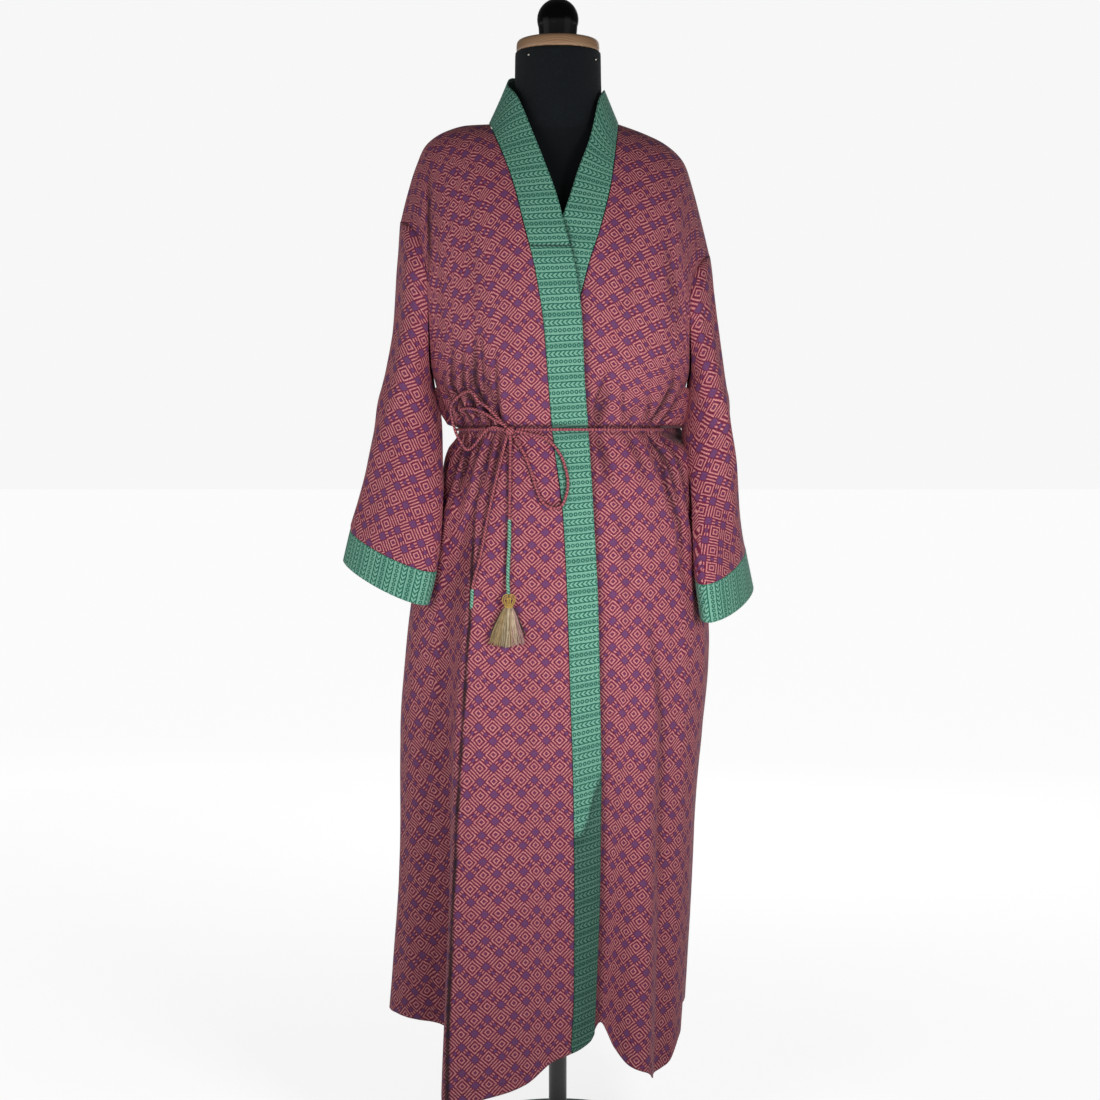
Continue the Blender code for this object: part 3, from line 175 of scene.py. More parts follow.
# Where each front panel meets its band, and where the band's free edge runs
EDGES = Table("z seam_right free_right seam_left free_left", (
    (0.18, 0.0156, 0.049, -0.02, -0.066), (0.25, 0.019, 0.052, -0.02, -0.066),
    (0.386, 0.0194, 0.0561, -0.02, -0.066), (0.518, 0.018, 0.0559, -0.02, -0.066),
    (0.649, 0.0141, 0.0532, -0.02, -0.066), (0.779, 0.0101, 0.0505, -0.02, -0.066),
    (0.883, 0.005, 0.0455, -0.02, -0.066), (1.0, -0.0094, 0.0385, -0.016, -0.064),
    (1.065, -0.0146, 0.0335, -0.002, -0.05), (1.143, -0.0211, 0.03, 0.0185, -0.029),
    (1.18, -0.0265, 0.026, 0.0296, -0.018), (1.22, -0.034, 0.0195, 0.04, -0.008),
    (1.26, -0.0445, 0.009, 0.0531, -0.001), (1.328, -0.062, -0.008, 0.0695, 0.022),
    (1.4136, -0.0945, -0.04, 0.0804, 0.045),
))

# The hem's height round the robe, by angle from the front, the left side at +90
HEM = Table("angle z", (
    (-180, 0.172), (-130, 0.178), (-100, 0.196), (-80, 0.206), (-60, 0.201), (-47, 0.194), (-36, 0.1115),
    (-18, 0.133), (-8, 0.146), (0, 0.176), (12, 0.1921), (18, 0.213), (25, 0.1804), (31, 0.1577), (39, 0.1472),
    (50, 0.131), (62, 0.139), (72, 0.168), (90, 0.2), (110, 0.196), (140, 0.178), (180, 0.172),
))

# Long soft folds of the skirt: out is +, widths in degrees towards the front and away from it
FOLDS = (
    # angle_belt angle_hem  depth_hem  starts_z  wide_front  wide_back  lean
    (-30.0, -27.5, 0.05, 0.96, 28.0, 7.0, 0.009), (-46.0, -46.0, -0.038, 0.94, 9.0, 16.0, 0.0),
    (-2.0, -3.0, -0.01, 0.6, 7.0, 9.0, 0.0), (20.0, 19.0, -0.026, 0.7, 13.0, 11.0, 0.0),
    (27.0, 37.0, 0.014, 0.9, 9.0, 9.0, 0.0), (34.0, 55.0, -0.012, 0.86, 8.0, 8.0, 0.0),
    (62.0, 74.0, 0.004, 0.96, 9.0, 9.0, 0.0), (-80.0, -78.0, 0.004, 0.94, 10.0, 9.0, 0.0),
    (-98.0, -97.0, -0.014, 0.94, 9.0, 9.0, 0.0), (-117.0, -115.0, 0.02, 0.95, 10.0, 8.0, 0.004),
    (-134.0, -133.0, -0.016, 0.93, 9.0, 9.0, 0.0), (-152.0, -151.0, 0.018, 0.95, 10.0, 9.0, 0.0),
    (-170.0, -169.0, -0.014, 0.9, 9.0, 9.0, 0.0), (172.0, 172.0, 0.016, 0.93, 9.0, 9.0, 0.0),
    (154.0, 154.0, -0.016, 0.95, 9.0, 9.0, 0.0), (136.0, 137.0, 0.02, 0.96, 10.0, 9.0, 0.004),
    (117.0, 118.0, -0.014, 0.94, 9.0, 9.0, 0.0), (100.0, 100.0, 0.012, 0.94, 9.0, 9.0, 0.0),
)

# Gathers at the belt: creases cut in, deeper and longer above it or below it
GATHERS = (
    # angle  width  depth_above  reach_above  depth_below  reach_below
    (-79.0, 3.4, 0.007, 0.06, 0.007, 0.12), (-66.0, 3.4, 0.007, 0.075, 0.008, 0.14),
    (-57.0, 3.0, 0.009, 0.11, 0.007, 0.1), (-47.5, 2.6, 0.009, 0.11, 0.006, 0.09),
    (-39.0, 2.5, 0.01, 0.125, 0.006, 0.13), (-31.0, 2.3, 0.006, 0.09, 0.006, 0.11),
    (18.0, 3.0, 0.007, 0.06, 0.006, 0.08), (38.0, 3.0, 0.003, 0.035, 0.004, 0.07),
    (60.0, 3.2, 0.01, 0.08, 0.008, 0.1), (72.0, 3.2, 0.007, 0.06, 0.009, 0.19),
    (-97.0, 3.6, 0.008, 0.1, 0.008, 0.13), (-112.0, 3.6, 0.008, 0.08, 0.008, 0.18),
    (-127.0, 3.6, 0.007, 0.11, 0.008, 0.12), (-143.0, 3.6, 0.008, 0.09, 0.008, 0.2),
    (-160.0, 3.6, 0.007, 0.12, 0.007, 0.13), (-177.0, 3.6, 0.008, 0.08, 0.008, 0.17),
    (166.0, 3.6, 0.007, 0.11, 0.007, 0.12), (149.0, 3.6, 0.008, 0.09, 0.008, 0.19),
    (133.0, 3.6, 0.008, 0.12, 0.008, 0.13), (117.0, 3.6, 0.007, 0.08, 0.008, 0.16),
    (101.0, 3.6, 0.008, 0.1, 0.008, 0.12),
)

# The shoulder ridge, from the neck (0) to the top of the armhole (1)
RIDGE = {
    Side.RIGHT: Table("run x z", (
        (0.0, 0.0945, 1.4136), (0.26, 0.125, 1.412), (0.46, 0.154, 1.404), (0.65, 0.18, 1.386),
        (0.81, 0.1948, 1.3545), (0.93, 0.207, 1.315),
        (1.0, 0.215, 1.283))),
    Side.LEFT: Table("run x z", (
        (0.0, 0.0804, 1.4136), (0.26, 0.115, 1.401), (0.46, 0.1445, 1.3865), (0.62, 0.1695, 1.362),
        (0.76, 0.183, 1.323), (0.89, 0.193, 1.2857),
        (1.0, 0.205, 1.237))),
}

# The armhole seam, from the underarm (0) up over the front to its top (1)
ARMHOLE = {
    Side.RIGHT: Table("run x z depth", (
        (0.0, 0.166, 1.055, 0.0), (0.15, 0.1715, 1.085, 0.034), (0.35, 0.1735, 1.14, 0.056),
        (0.6, 0.1765, 1.205, 0.064), (0.8, 0.185, 1.25, 0.052),
        (0.93, 0.201, 1.275, 0.03), (1.0, 0.215, 1.283, 0.0))),
    Side.LEFT: Table("run x z depth", (
        (0.0, 0.172, 1.055, 0.0), (0.15, 0.1755, 1.08, 0.034), (0.35, 0.1745, 1.125, 0.056),
        (0.6, 0.1745, 1.172, 0.064), (0.8, 0.181, 1.208, 0.052),
        (0.93, 0.194, 1.229, 0.03), (1.0, 0.205, 1.237, 0.0))),
}

# The sleeve's outer side beside the armhole, by the share up the armhole's seam
SLEEVE_HEAD = {
    Side.RIGHT: Table("run outer", (
        (0.0, 0.24), (0.15, 0.234), (0.35, 0.2248), (0.6, 0.2196), (0.8, 0.2172), (1.0, 0.2168))),
    Side.LEFT: Table("run outer", (
        (0.0, 0.2284), (0.15, 0.2247), (0.35, 0.218), (0.6, 0.2121), (0.8, 0.2088), (1.0, 0.2068))),
}

# The sleeve's rings: how far out and how high its outer and inner sides are, its middle's place
# to the front (-) or back, its half-depth, and its turn in degrees, the inner side to the front
SLEEVE = {
    Side.RIGHT: Table("run outer outer_z inner inner_z middle_y depth turn", (
        (0.0, 0.24, 1.055, 0.169, 1.055, 0.0, 0.062, 0.0),
        (0.2, 0.2458, 1.0175, 0.16, 1.0085, -0.016, 0.052, 12.0),
        (0.4, 0.2539, 0.98, 0.1575, 0.961, -0.033, 0.044, 22.0),
        (0.6, 0.2611, 0.942, 0.1555, 0.912, -0.047, 0.039, 28.0),
        (0.8, 0.2707, 0.905, 0.157, 0.863, -0.058, 0.037, 32.0),
        (1.0, 0.282, 0.867, 0.1631, 0.812, -0.066, 0.036, 34.0),
        (1.15, 0.291, 0.827, 0.1726, 0.769, -0.074, 0.036, 35.0))),
    Side.LEFT: Table("run outer outer_z inner inner_z middle_y depth turn", (
        (0.0, 0.2284, 1.055, 0.175, 1.055, 0.0, 0.064, 0.0),
        (0.2, 0.2325, 1.0125, 0.1705, 1.003, -0.006, 0.05, 22.0),
        (0.4, 0.2386, 0.97, 0.1725, 0.951, -0.014, 0.036, 42.0),
        (0.6, 0.2432, 0.9275, 0.176, 0.899, -0.022, 0.03, 56.0),
        (0.8, 0.2486, 0.885, 0.1795, 0.847, -0.03, 0.027, 64.0),
        (1.0, 0.2572, 0.843, 0.1825, 0.795, -0.036, 0.026, 67.0),
        (1.15, 0.269, 0.788, 0.1885, 0.746, -0.04, 0.026, 67.0))),
}

# The sleeve's gaps: to the skirt, at the armhole, and what is added at the underarm
SLEEVE_CLEAR = 0.0022
SLEEVE_GAP = 0.0012
UNDERARM_GAP = 0.0018

# The band round the neck: the height of its seam on the fronts, and its free edge
NECK_BAND = Table("run seam_z x y z", (
    (0.0, 1.24, 0.0135, -0.124, 1.247), (0.2, 1.275, 0.002, -0.113, 1.286),
    (0.5, 1.327, -0.0165, -0.091, 1.345), (0.75, 1.37, -0.037, -0.065, 1.4),
    (0.9, 1.399, -0.057, -0.037, 1.448), (1.0, 1.4136, -0.0695, -0.006, 1.467),
    (1.12, 1.4136, -0.0665, 0.017, 1.478), (1.25, 1.4136, -0.059, 0.04, 1.483),
    (1.5, 1.4136, 0.0, 0.071, 1.464), (1.75, 1.4136, 0.053, 0.043, 1.46), (2.0, 1.4136, 0.0612, -0.006, 1.459),
    (2.1, 1.399, 0.0545, -0.034, 1.445), (2.25, 1.366, 0.042, -0.063, 1.391),
    (2.5, 1.305, 0.016, -0.096, 1.319), (2.75, 1.231, -0.0075, -0.118, 1.242),
    (3.0, 1.17, -0.023, -0.124, 1.179),
))

# How far the neck band stands off its seam in front and behind; the back neck's hollow and its share
NECK_SEAT_FRONT = 0.001
NECK_SEAT_BACK = 0.0018
BACK_NECK_DEPTH = 0.073
BACK_NECK_DROP = 0.012
NECK_SHARE = 0.36

# The form's sections: half-width, depth to the front and back, and how square the section is
TORSO = Table("z wide front back square", (
    (0.72, 0.136, 0.085, 0.1, 2.3), (0.76, 0.148, 0.096, 0.112, 2.3), (0.84, 0.144, 0.094, 0.108, 2.3),
    (0.92, 0.129, 0.084, 0.095, 2.3), (0.99, 0.114, 0.074, 0.08, 2.3), (1.05, 0.12, 0.084, 0.086, 2.3),
    (1.12, 0.137, 0.103, 0.096, 2.3), (1.19, 0.15, 0.114, 0.102, 2.3), (1.25, 0.16, 0.103, 0.101, 2.3),
    (1.3, 0.168, 0.084, 0.093, 2.2), (1.33, 0.167, 0.07, 0.083, 2.0), (1.356, 0.162, 0.06, 0.072, 1.85),
    (1.38, 0.147, 0.055, 0.063, 1.7), (1.395, 0.1205, 0.054, 0.06, 1.65), (1.406, 0.0885, 0.054, 0.059, 1.75),
    (1.411, 0.0735, 0.0545, 0.059, 1.9), (1.42, 0.0655, 0.055, 0.059, 2.0), (1.46, 0.059, 0.0555, 0.059, 2.0),
    (1.51, 0.058, 0.056, 0.058, 2.0),
))

# How far to the side the front is read for the cord, and the step in which its angle is found
CLOTH_SIDE_SHARE = 0.86
DEGREES_PER_METRE = 350.0

# The cord round the waist: its lift off the cloth, what is added in front, the degrees left free on
# each side of the knot, and how far it sits above the belt's height; then the knot's place and size
BELT_LIFT = 0.0034
BELT_EASE = 0.0006
BELT_ENDS = 4.4
BELT_RISE = 0.0005
KNOT_AT = (-0.0646, 0.9985)
KNOT_SIZE = (0.0068, 0.0052, 0.0062)
KNOT_LIFT = 0.008

# Routes of the belt's cord: x and z as worn, and how far it stands off the cloth's middle surface
LOOP_RIGHT = (
    (-0.07, 1.0032, 0.0065), (-0.077, 1.0115, 0.006), (-0.0836, 1.0187, 0.0055), (-0.0953, 1.0303, 0.005),
    (-0.1065, 1.038, 0.005), (-0.1125, 1.047, 0.005), (-0.1198, 1.0507, 0.005), (-0.1326, 1.045, 0.0055),
    (-0.1422, 1.0347, 0.0065), (-0.144, 1.0255, 0.0075), (-0.1422, 1.0137, 0.009), (-0.1375, 0.9965, 0.0105),
    (-0.1306, 0.9836, 0.0095), (-0.1223, 0.9734, 0.0075), (-0.113, 0.979, 0.008), (-0.1035, 0.9908, 0.0095),
    (-0.0954, 1.0, 0.01), (-0.0859, 1.0035, 0.0105), (-0.0718, 1.0001, 0.0105),
)
STRAND = (
    (-0.0692, 1.0046, 0.0112), (-0.0768, 1.0093, 0.0125), (-0.086, 1.014, 0.0106), (-0.096, 1.0208, 0.0085),
    (-0.108, 1.0262, 0.0065), (-0.121, 1.0285, 0.0055), (-0.133, 1.0265, 0.0055),
)
LOOP_LEFT = (
    (-0.0572, 0.9985, 0.0095), (-0.0382, 0.9946, 0.0095), (-0.0185, 0.989, 0.0075), (-0.0042, 0.9765, 0.006),
    (0.0063, 0.9569, 0.005), (0.0116, 0.9307, 0.0045), (0.0077, 0.9098, 0.0045), (0.0011, 0.8993, 0.0045),
    (-0.011, 0.8985, 0.0045), (-0.0225, 0.907, 0.0045), (-0.0295, 0.9229, 0.0045), (-0.0361, 0.9438, 0.0045),
    (-0.0434, 0.9634, 0.005), (-0.0529, 0.9814, 0.0065), (-0.0603, 0.9929, 0.008),
)
END_LONG = (
    (-0.0641, 0.992, 0.0097), (-0.064, 0.978, 0.0075), (-0.0642, 0.956, 0.0055), (-0.0645, 0.935, 0.0045),
    (-0.0647, 0.915, 0.0042), (-0.0649, 0.898, 0.004), (-0.0651, 0.883, 0.004),
)
TIP_LONG = (
    (-0.0651, 0.8824, 0.004), (-0.065, 0.865, 0.004), (-0.0655, 0.845, 0.0044), (-0.0665, 0.822, 0.0056),
    (-0.0668, 0.802, 0.0072), (-0.066, 0.7868, 0.0085),
)
END_SHORT = (
    (-0.0682, 0.9925, 0.0076), (-0.0725, 0.977, 0.0055), (-0.0775, 0.956, 0.0042), (-0.0832, 0.933, 0.004),
    (-0.089, 0.907, 0.004), (-0.0945, 0.88, 0.004), (-0.099, 0.856, 0.0058), (-0.103, 0.834, 0.0062),
    (-0.1075, 0.817, 0.0064), (-0.112, 0.801, 0.0056), (-0.1136, 0.792, 0.0042),
)
TIP_SHORT = (
    (-0.1136, 0.7914, 0.004), (-0.1138, 0.784, 0.0034), (-0.1141, 0.776, 0.0028), (-0.1147, 0.768, 0.0016),
    (-0.1156, 0.759, -0.004),
)


@dataclass(frozen=True)
class Crease:
    """A soft line pressed into or raised from the robe's front, by points in x and z as worn.

    A line as deep as full_shade and no wider than sharp gets the darkest painted shade.
    """

    points: tuple[tuple[float, float], ...]
    width: float
    depth: float
    full_shade: float = 0.0065
    sharp: float = 0.0045

    def at(self, x: Array, z: Array) -> Array:
        """How far the cloth moves out at x and z, fading at the line's two ends."""
        best = np.full(np.broadcast(x, z).shape, 1e9)
        fading = np.zeros_like(best)
        count = len(self.points) - 1
        for k, (a, b) in enumerate(zip(self.points, self.points[1:])):
            way = np.subtract(b, a)
            along = np.clip(((x - a[0]) * way[0] + (z - a[1]) * way[1]) / (way @ way), 0.0, 1.0)
            away = np.hypot(x - a[0] - along * way[0], z - a[1] - along * way[1])
            share = (k + along) / count
            nearer = away < best
            best = np.where(nearer, away, best)
            fading = np.where(nearer, np.sin(math.pi * np.clip(share, 0.04, 0.96)) ** 0.5, fading)
        return self.depth * fading * bell(best, self.width)

    def shade(self, x: Array, z: Array) -> Array:
        """The shade painted on a point in the line, 0 to 1."""
        strong = min(max(-self.depth / self.full_shade, 0.0), 0.85) * min(1.0, self.sharp / self.width)
        return strong * (self.at(x, z) / self.depth) ** 2


@dataclass(frozen=True)
class Pleat(Crease):
    """A folded edge: the cloth stands proud on one side of the line and drops sharply on the other.

    The drop reaches out to the low side; the proud side laps over it by lap, felt over lap_reach.
    """

    drop: float = 0.012
    reach: float = 0.03
    edge: float = 0.0009
    lap: float = 0.0065
    lap_reach: float = 0.011

    def line(self, z: Array) -> Array:
        """The folded edge's x at a height."""
        heights = [point[1] for point in self.points]
        return np.interp(z, heights[::-1], [point[0] for point in self.points][::-1])

    def near(self, x: Array, z: Array) -> tuple[Array, ...]:
        """How far a point lies past the edge, how strong the fold is there, and which side it is on."""
        away = np.asarray(x - self.line(z), float)
        top = self.points[0][1]
        strength = fade(z, top + 0.01, top - 0.12)
        return away, strength, fade(away, -self.edge, self.edge)

    def at(self, x: Array, z: Array) -> Array:
        """How far the cloth moves out at x and z, the drop standing on the line's low-x side."""
        away, strength, step = self.near(x, z)
        proud = self.depth * bell(away, self.width)
        low = -self.drop * bell(away, self.reach)
        return strength * (step * proud + (1.0 - step) * low)

    def slide(self, x: Array, z: Array) -> Array:
        """How far the cloth moves along x, so that its proud side laps over its low one."""
        away, strength, step = self.near(x, z)
        return strength * self.lap * bell(away, self.lap_reach) * ((1.0 - step) - 0.35 * step)

    def shade(self, x: Array, z: Array) -> Array:
        """The shade painted on a point under the folded edge, 0 to 1."""
        away, strength, step = self.near(x, z)
        under = 1.0 - fade(np.abs(away), 0.003, 0.0056) + 0.14 * bell(away, self.reach)
        return np.clip(strength * (1.0 - step) * under, 0.0, 1.0)


# The fronts' creases; the first is the long folded edge down the right front
CREASES = (
    Pleat(((-0.1075, 0.93), (-0.1144, 0.755), (-0.117, 0.724), (-0.13, 0.511), (-0.142, 0.243),
            (-0.1446, 0.09)), 0.022, 0.003),
    Crease(((-0.1116, 1.0), (-0.1167, 1.042), (-0.1192, 1.11)), 0.004, -0.007),
    Crease(((-0.0945, 1.0), (-0.0984, 1.042), (-0.1035, 1.13)), 0.0034, -0.007),
    Crease(((-0.0814, 1.0), (-0.0814, 1.033), (-0.0839, 1.11)), 0.0034, -0.006),
    Crease(((-0.111, 0.998), (-0.123, 0.975), (-0.132, 0.93), (-0.136, 0.89)), 0.005, -0.007),
    Crease(((-0.086, 0.998), (-0.096, 0.96), (-0.101, 0.92)), 0.0034, -0.005),
    Crease(((0.066, 1.085), (0.05, 1.045), (0.0404, 0.999), (0.0431, 0.95)), 0.0032, -0.0065),
    Crease(((0.123, 1.05), (0.119, 1.025), (0.113, 0.998)), 0.0034, -0.007),
    Crease(((0.083, 1.06), (0.087, 1.0)), 0.0034, -0.004),
    Crease(((0.113, 0.998), (0.1402, 0.937), (0.1615, 0.873), (0.1682, 0.8)), 0.005, -0.009),
    Crease(((-0.1735, 1.36), (-0.1738, 1.2985), (-0.1725, 1.247), (-0.1745, 1.2)), 0.0044, -0.006),
    Crease(((0.14, 1.27), (0.151, 1.19), (0.16, 1.11)), 0.011, -0.005),
    Crease(((0.1193, 0.997), (0.133, 0.972), (0.144, 0.934), (0.151, 0.89)), 0.0036, -0.0062),
    Crease(((0.1171, 0.79), (0.1239, 0.72), (0.1307, 0.665), (0.1375, 0.599), (0.1341, 0.446),
            (0.137, 0.381)), 0.0065, -0.0042),
    Crease(((-0.15, 1.34), (-0.148, 1.24), (-0.138, 1.14)), 0.016, 0.003),
    Crease(((-0.125, 1.3), (-0.115, 1.2), (-0.108, 1.1)), 0.018, -0.0025),
    Crease(((0.085, 1.33), (0.095, 1.22), (0.09, 1.11)), 0.018, -0.0025),
    Crease(((0.07, 0.96), (0.085, 0.86), (0.092, 0.7)), 0.012, -0.0022),
    Crease(((-0.03, 0.9), (-0.04, 0.7), (-0.045, 0.45)), 0.02, -0.002),
)

# The share across the right front, from its band to its side, at which the long fold runs
FOLD_SHARE = 0.4


def fade(value: Array, low: float, high: float) -> Array:
    """0 below low, 1 above high, smooth between."""
    t = np.clip((value - low) / (high - low), 0.0, 1.0)
    return t * t * (3.0 - 2.0 * t)


def bell(away: Array, width: float) -> Array:
    """1 at 0, falling off smoothly over a width on both sides."""
    return np.exp(-(away / width) ** 2)


def angle_side(angle: Array) -> Array:
    """Angles wrapped to the half turn each side of the front."""
    return (np.asarray(angle, float) + 180.0) % 360.0 - 180.0


class Robe:
    """The robe's surfaces: rings round the form below the underarm, patches above it, and sleeves."""

    def half_width(self, sign: Array, z: Array) -> Array:
        """The body ring's half-width on one side."""
        return np.where(sign < 0, BODY.at("right", z), BODY.at("left", z))

    def ring_base(self, angle: Array, z: Array) -> tuple[Array, ...]:
        """A point and its outward direction on the body ring, with no folds.

        Args:
            angle: degrees round the ring from the front.
            z: the ring's height.

        Returns:
            x, y and the outward direction's x and y.
        """
        wide = self.half_width(np.sign(angle_side(angle)), z)
        cos = np.cos(np.radians(angle))
        sin = np.sin(np.radians(angle))
        deep = np.where(cos > 0, BODY.at("front", z), BODY.at("back", z))
        power = 2.0 / RING_POWER
        x = wide * np.sign(sin) * np.abs(sin) ** power
        y = -deep * np.sign(cos) * np.abs(cos) ** power
        nx = np.sign(x) * np.abs(x / wide) ** (RING_POWER - 1) / wide
        ny = np.sign(y) * np.abs(y / deep) ** (RING_POWER - 1) / deep
        size = np.hypot(nx, ny)
        return x, y, nx / size, ny / size

    def ring_angle(self, x: Array, z: Array) -> Array:
        """The angle of the front half of the ring at a given x."""
        wide = self.half_width(np.sign(x), z)
        sin = np.clip(np.abs(x) / wide, 0.0, 1.0) ** (RING_POWER / 2.0)
        return np.degrees(np.sign(x) * np.arcsin(sin))

    def folds(self, angle: Array, z: Array) -> tuple[Array, Array]:
        """The skirt's long soft folds.

        Args:
            angle: degrees round the ring from the front.
            z: the height.

        Returns:
            How far they stand out, and how far they lean round the ring.
        """
        out = np.zeros(np.broadcast(angle, z).shape)
        lean = np.zeros_like(out)
        hem = HEM.at("z", angle_side(angle))
        for at_belt, at_hem, depth, starts, wide_front, wide_back, reach in FOLDS:
            down = np.clip((BELT_Z - z) / (BELT_Z - hem), 0.0, 1.0)
            middle = at_belt + (at_hem - at_belt) * down
            turn = 1.0 if at_belt > 0 else -1.0
            away = angle_side(angle - middle) * turn
            width = np.where(away > 0, wide_back, wide_front)
            grown = fade(starts - z, 0.0, starts - 0.14) ** 0.75
            out = out + depth * bell(away, width) * grown
            lean = lean + reach * bell(away, 0.6 * wide_back) * grown * turn
        return out, lean

    def gathers(self, side: Optional[Side], angle: Array, z: Array) -> Array:
        """How far the belt's gathers are cut in, with finer ones between them.

        Args:
            side: the front's side, or None for the back.
            angle: degrees round the ring from the front.
            z: the height.

        Returns:
            The move outwards, below 0 in a crease.
        """
        depth = np.zeros(np.broadcast(angle, z).shape)
        for middle, width, above, reach_above, below, reach_below in GATHERS:
            if side is not None and middle * side.value < 0:
                continue
            away = angle_side(angle - middle) / width
            up = (z - BELT_Z) / reach_above
            down = (BELT_Z - z) / reach_below
            swell = np.where(z > BELT_Z, above * fade(up, -0.35, 0.35) * (1 - fade(up, 0.4, 1.25)),
                             below * fade(down, -0.3, 0.3) * (1 - fade(down, 0.4, 1.25)))
            depth = depth - swell * np.exp(-away * away)
        depth = depth * (1.0 - 0.85 * bell(z - BELT_Z, CORD_STRIP))
        turned = np.radians(angle)
        wave = np.sin(61.0 * turned + 2.0 * np.sin(5.0 * turned)) + 0.6 * np.sin(97.0 * turned + 1.3)
        calm = 1.0 if side is None else fade(np.abs(angle), 14.0, 26.0)
        near = np.exp(-np.abs(z - BELT_Z) / 0.026) * fade(np.abs(z - BELT_Z), 0.002, 0.012)
        return depth + FINE_GATHER * calm * near * (wave - 1.2)

    def blouse(self, angle: Array, z: Array) -> Array:
        """How far the cloth swells at each side over and under the belt, and over the cord on the left."""
        around = angle_side(angle)
        high, low = z - BELT_Z, BELT_Z - z
        over = fade(high, 0.002, 0.012) * (1.0 - fade(high, 0.022, 0.08))
        under = fade(low, 0.006, 0.026) * (1.0 - fade(low, 0.03, 0.085))
        left = bell(around - SWELL_LEFT, 19.0) * (0.029 * over + 0.023 * under)
        right = bell(angle_side(angle - SWELL_RIGHT), 18.0) * (0.013 * over + 0.008 * under)
        cave = 0.043 * np.exp(-(angle_side(angle - BULGE_AT) / 14.0) ** 2 - ((high + 0.003) / 0.022) ** 2)
        return left + right + cave

    def droop(self, angle: Array, z: Array) -> Array:
        """How far the swelling cloth at each side hangs down over the belt."""
        high = z - BELT_Z
        over = fade(high, 0.003, 0.011) * (1.0 - fade(high, 0.012, 0.05))
        left = bell(angle_side(angle) - 98.0, 20.0)
        right = bell(angle_side(angle - SWELL_RIGHT), 18.0)
        return (0.008 * left + 0.003 * right) * over

    def painted_shade(self, side: Optional[Side], angle: Array, x: Array, z: Array) -> Array:
        """The shade painted on the cloth in a crease, behind a cord or beside a lap, from 0 to 1."""
        # Painted shade deep in the belt's gathers.
        deep = 0.85 * np.clip(-self.gathers(side, angle, z) / 0.0085, 0.0, 1.0)
        high = z - BELT_Z
        # Painted shadow lines just above and just below the waist cord.
        belt = 0.8 * bell(high - 0.005, 0.003) + 0.45 * bell(high + 0.0046, 0.0026)
        # Painted shade in the cave at the wearer's left side, just below the belt.
        cave = 0.8 * np.exp(-(angle_side(angle - 106.0) / 15.0) ** 2 - ((high + 0.006) / 0.018) ** 2)
        deep = np.maximum(np.maximum(deep, belt), cave)
        if side is None:
            return deep
        calm = fade(self.past_band(side, x, z), 0.002, 0.012)
        # Painted shade in this front's creases and under the long fold's edge.
        for crease in CREASES:
            if crease.points[0][0] * side.value > 0:
                deep = np.maximum(deep, crease.shade(x, z) * calm)
        # Painted shadows that the cords cast on the cloth.
        for cast in CASTS:
            deep = np.maximum(deep, np.abs(cast.at(x, z)))
        # Painted shadow on the left front beside the right front's free edge.
        if side is Side.LEFT:
            past = x - EDGES.at("free_right", z)
            deep = np.maximum(deep, 0.5 * bell(past, 0.0065) * (1.0 - fade(z, LAP_TOP_Z, 1.285)))
        return deep

    def under_lap(self, side: Side, x: Array, z: Array) -> Array:
        """How far the under-lapping left front lies inside the right one."""
        if side is Side.RIGHT:
            return 0.0 * x
        past = x - EDGES.at("free_right", z)
        return -LAP * (1.0 - fade(past, 0.003, 0.026)) * (1.0 - fade(z, LAP_TOP_Z, 1.29))

    def ripple(self, angle: Array, z: Array) -> Array:
        """The cloth's own faint unevenness between its folds."""
        a = np.radians(angle)
        drift = np.sin(9.0 * z + 2.0 * np.sin(3.0 * a)) + 0.7 * np.sin(23.0 * a + 7.0 * z)
        small = np.sin(41.0 * a + 19.0 * z + 1.5 * np.sin(11.0 * z)) + 0.8 * np.sin(67.0 * a - 31.0 * z)
        return RIPPLE * (0.8 * drift + 0.35 * small)

    def ring_point(self, side: Optional[Side], angle: Array, z: Array, fine: bool = True) -> Array:
        """A point of the cloth's middle surface below the underarm.

        Args:
            side: the front's side, or None for the back.
            angle: degrees round the ring from the front.
            z: the height.
            fine: with the gathers and creases, or the plain surface.

        Returns:
            Points, the last axis x, y, z.
        """
        x, y, nx, ny = self.ring_base(angle, z)
        out, lean = self.folds(angle, z)
        if fine:
            rippled = self.ripple(angle, z) * fade(np.abs(z - BELT_Z), 0.006, 0.05)
            out = out + self.gathers(side, angle, z) + rippled + self.blouse(angle, z)
        if side is not None:
            out = out + self.under_lap(side, x, z)
            if fine:
                out = out + self.pressed(side, x, z)
        if fine and side is Side.RIGHT:
            calm = fade(EDGES.at("seam_right", z) - x, 0.004, 0.02)
            x = x + CREASES[0].slide(x, z) * calm
        down = self.droop(angle, z) if fine else 0.0
        return np.stack([x + nx * out - ny * lean, y + ny * out + nx * lean, z + 0 * x - down], -1)

    def pressed(self, side: Side, x: Array, z: Array) -> Array:
        """The front's own creases at x and z, kept off the two laps."""
        total = np.zeros(np.broadcast(x, z).shape)
        for crease in CREASES:
            if crease.points[0][0] * side.value > 0:
                total = total + crease.at(x, z)
        return total * fade(self.past_band(side, x, z), 0.004, 0.02)

    def past_band(self, side: Side, x: Array, z: Array) -> Array:
        """How far x lies out from the right band: from its seam on the right, its free edge on the left."""
        return (x - EDGES.at("seam_right" if side is Side.RIGHT else "free_right", z)) * side.value

    def front_angle(self, side: Side, s: Array, z: Array) -> Array:
        """The ring angle on a front: s is 0 at the band's seam, 1 at the side, -1 at the free edge."""
        seam, free = (self.ring_angle(EDGES.at(edge + side.word, z), z) for edge in ("seam_", "free_"))
        if side is Side.RIGHT:
            s = s + self.led(s, z, seam)
        return np.where(s >= 0, seam + s * (90.0 * side.value - seam), seam - s * (free - seam))

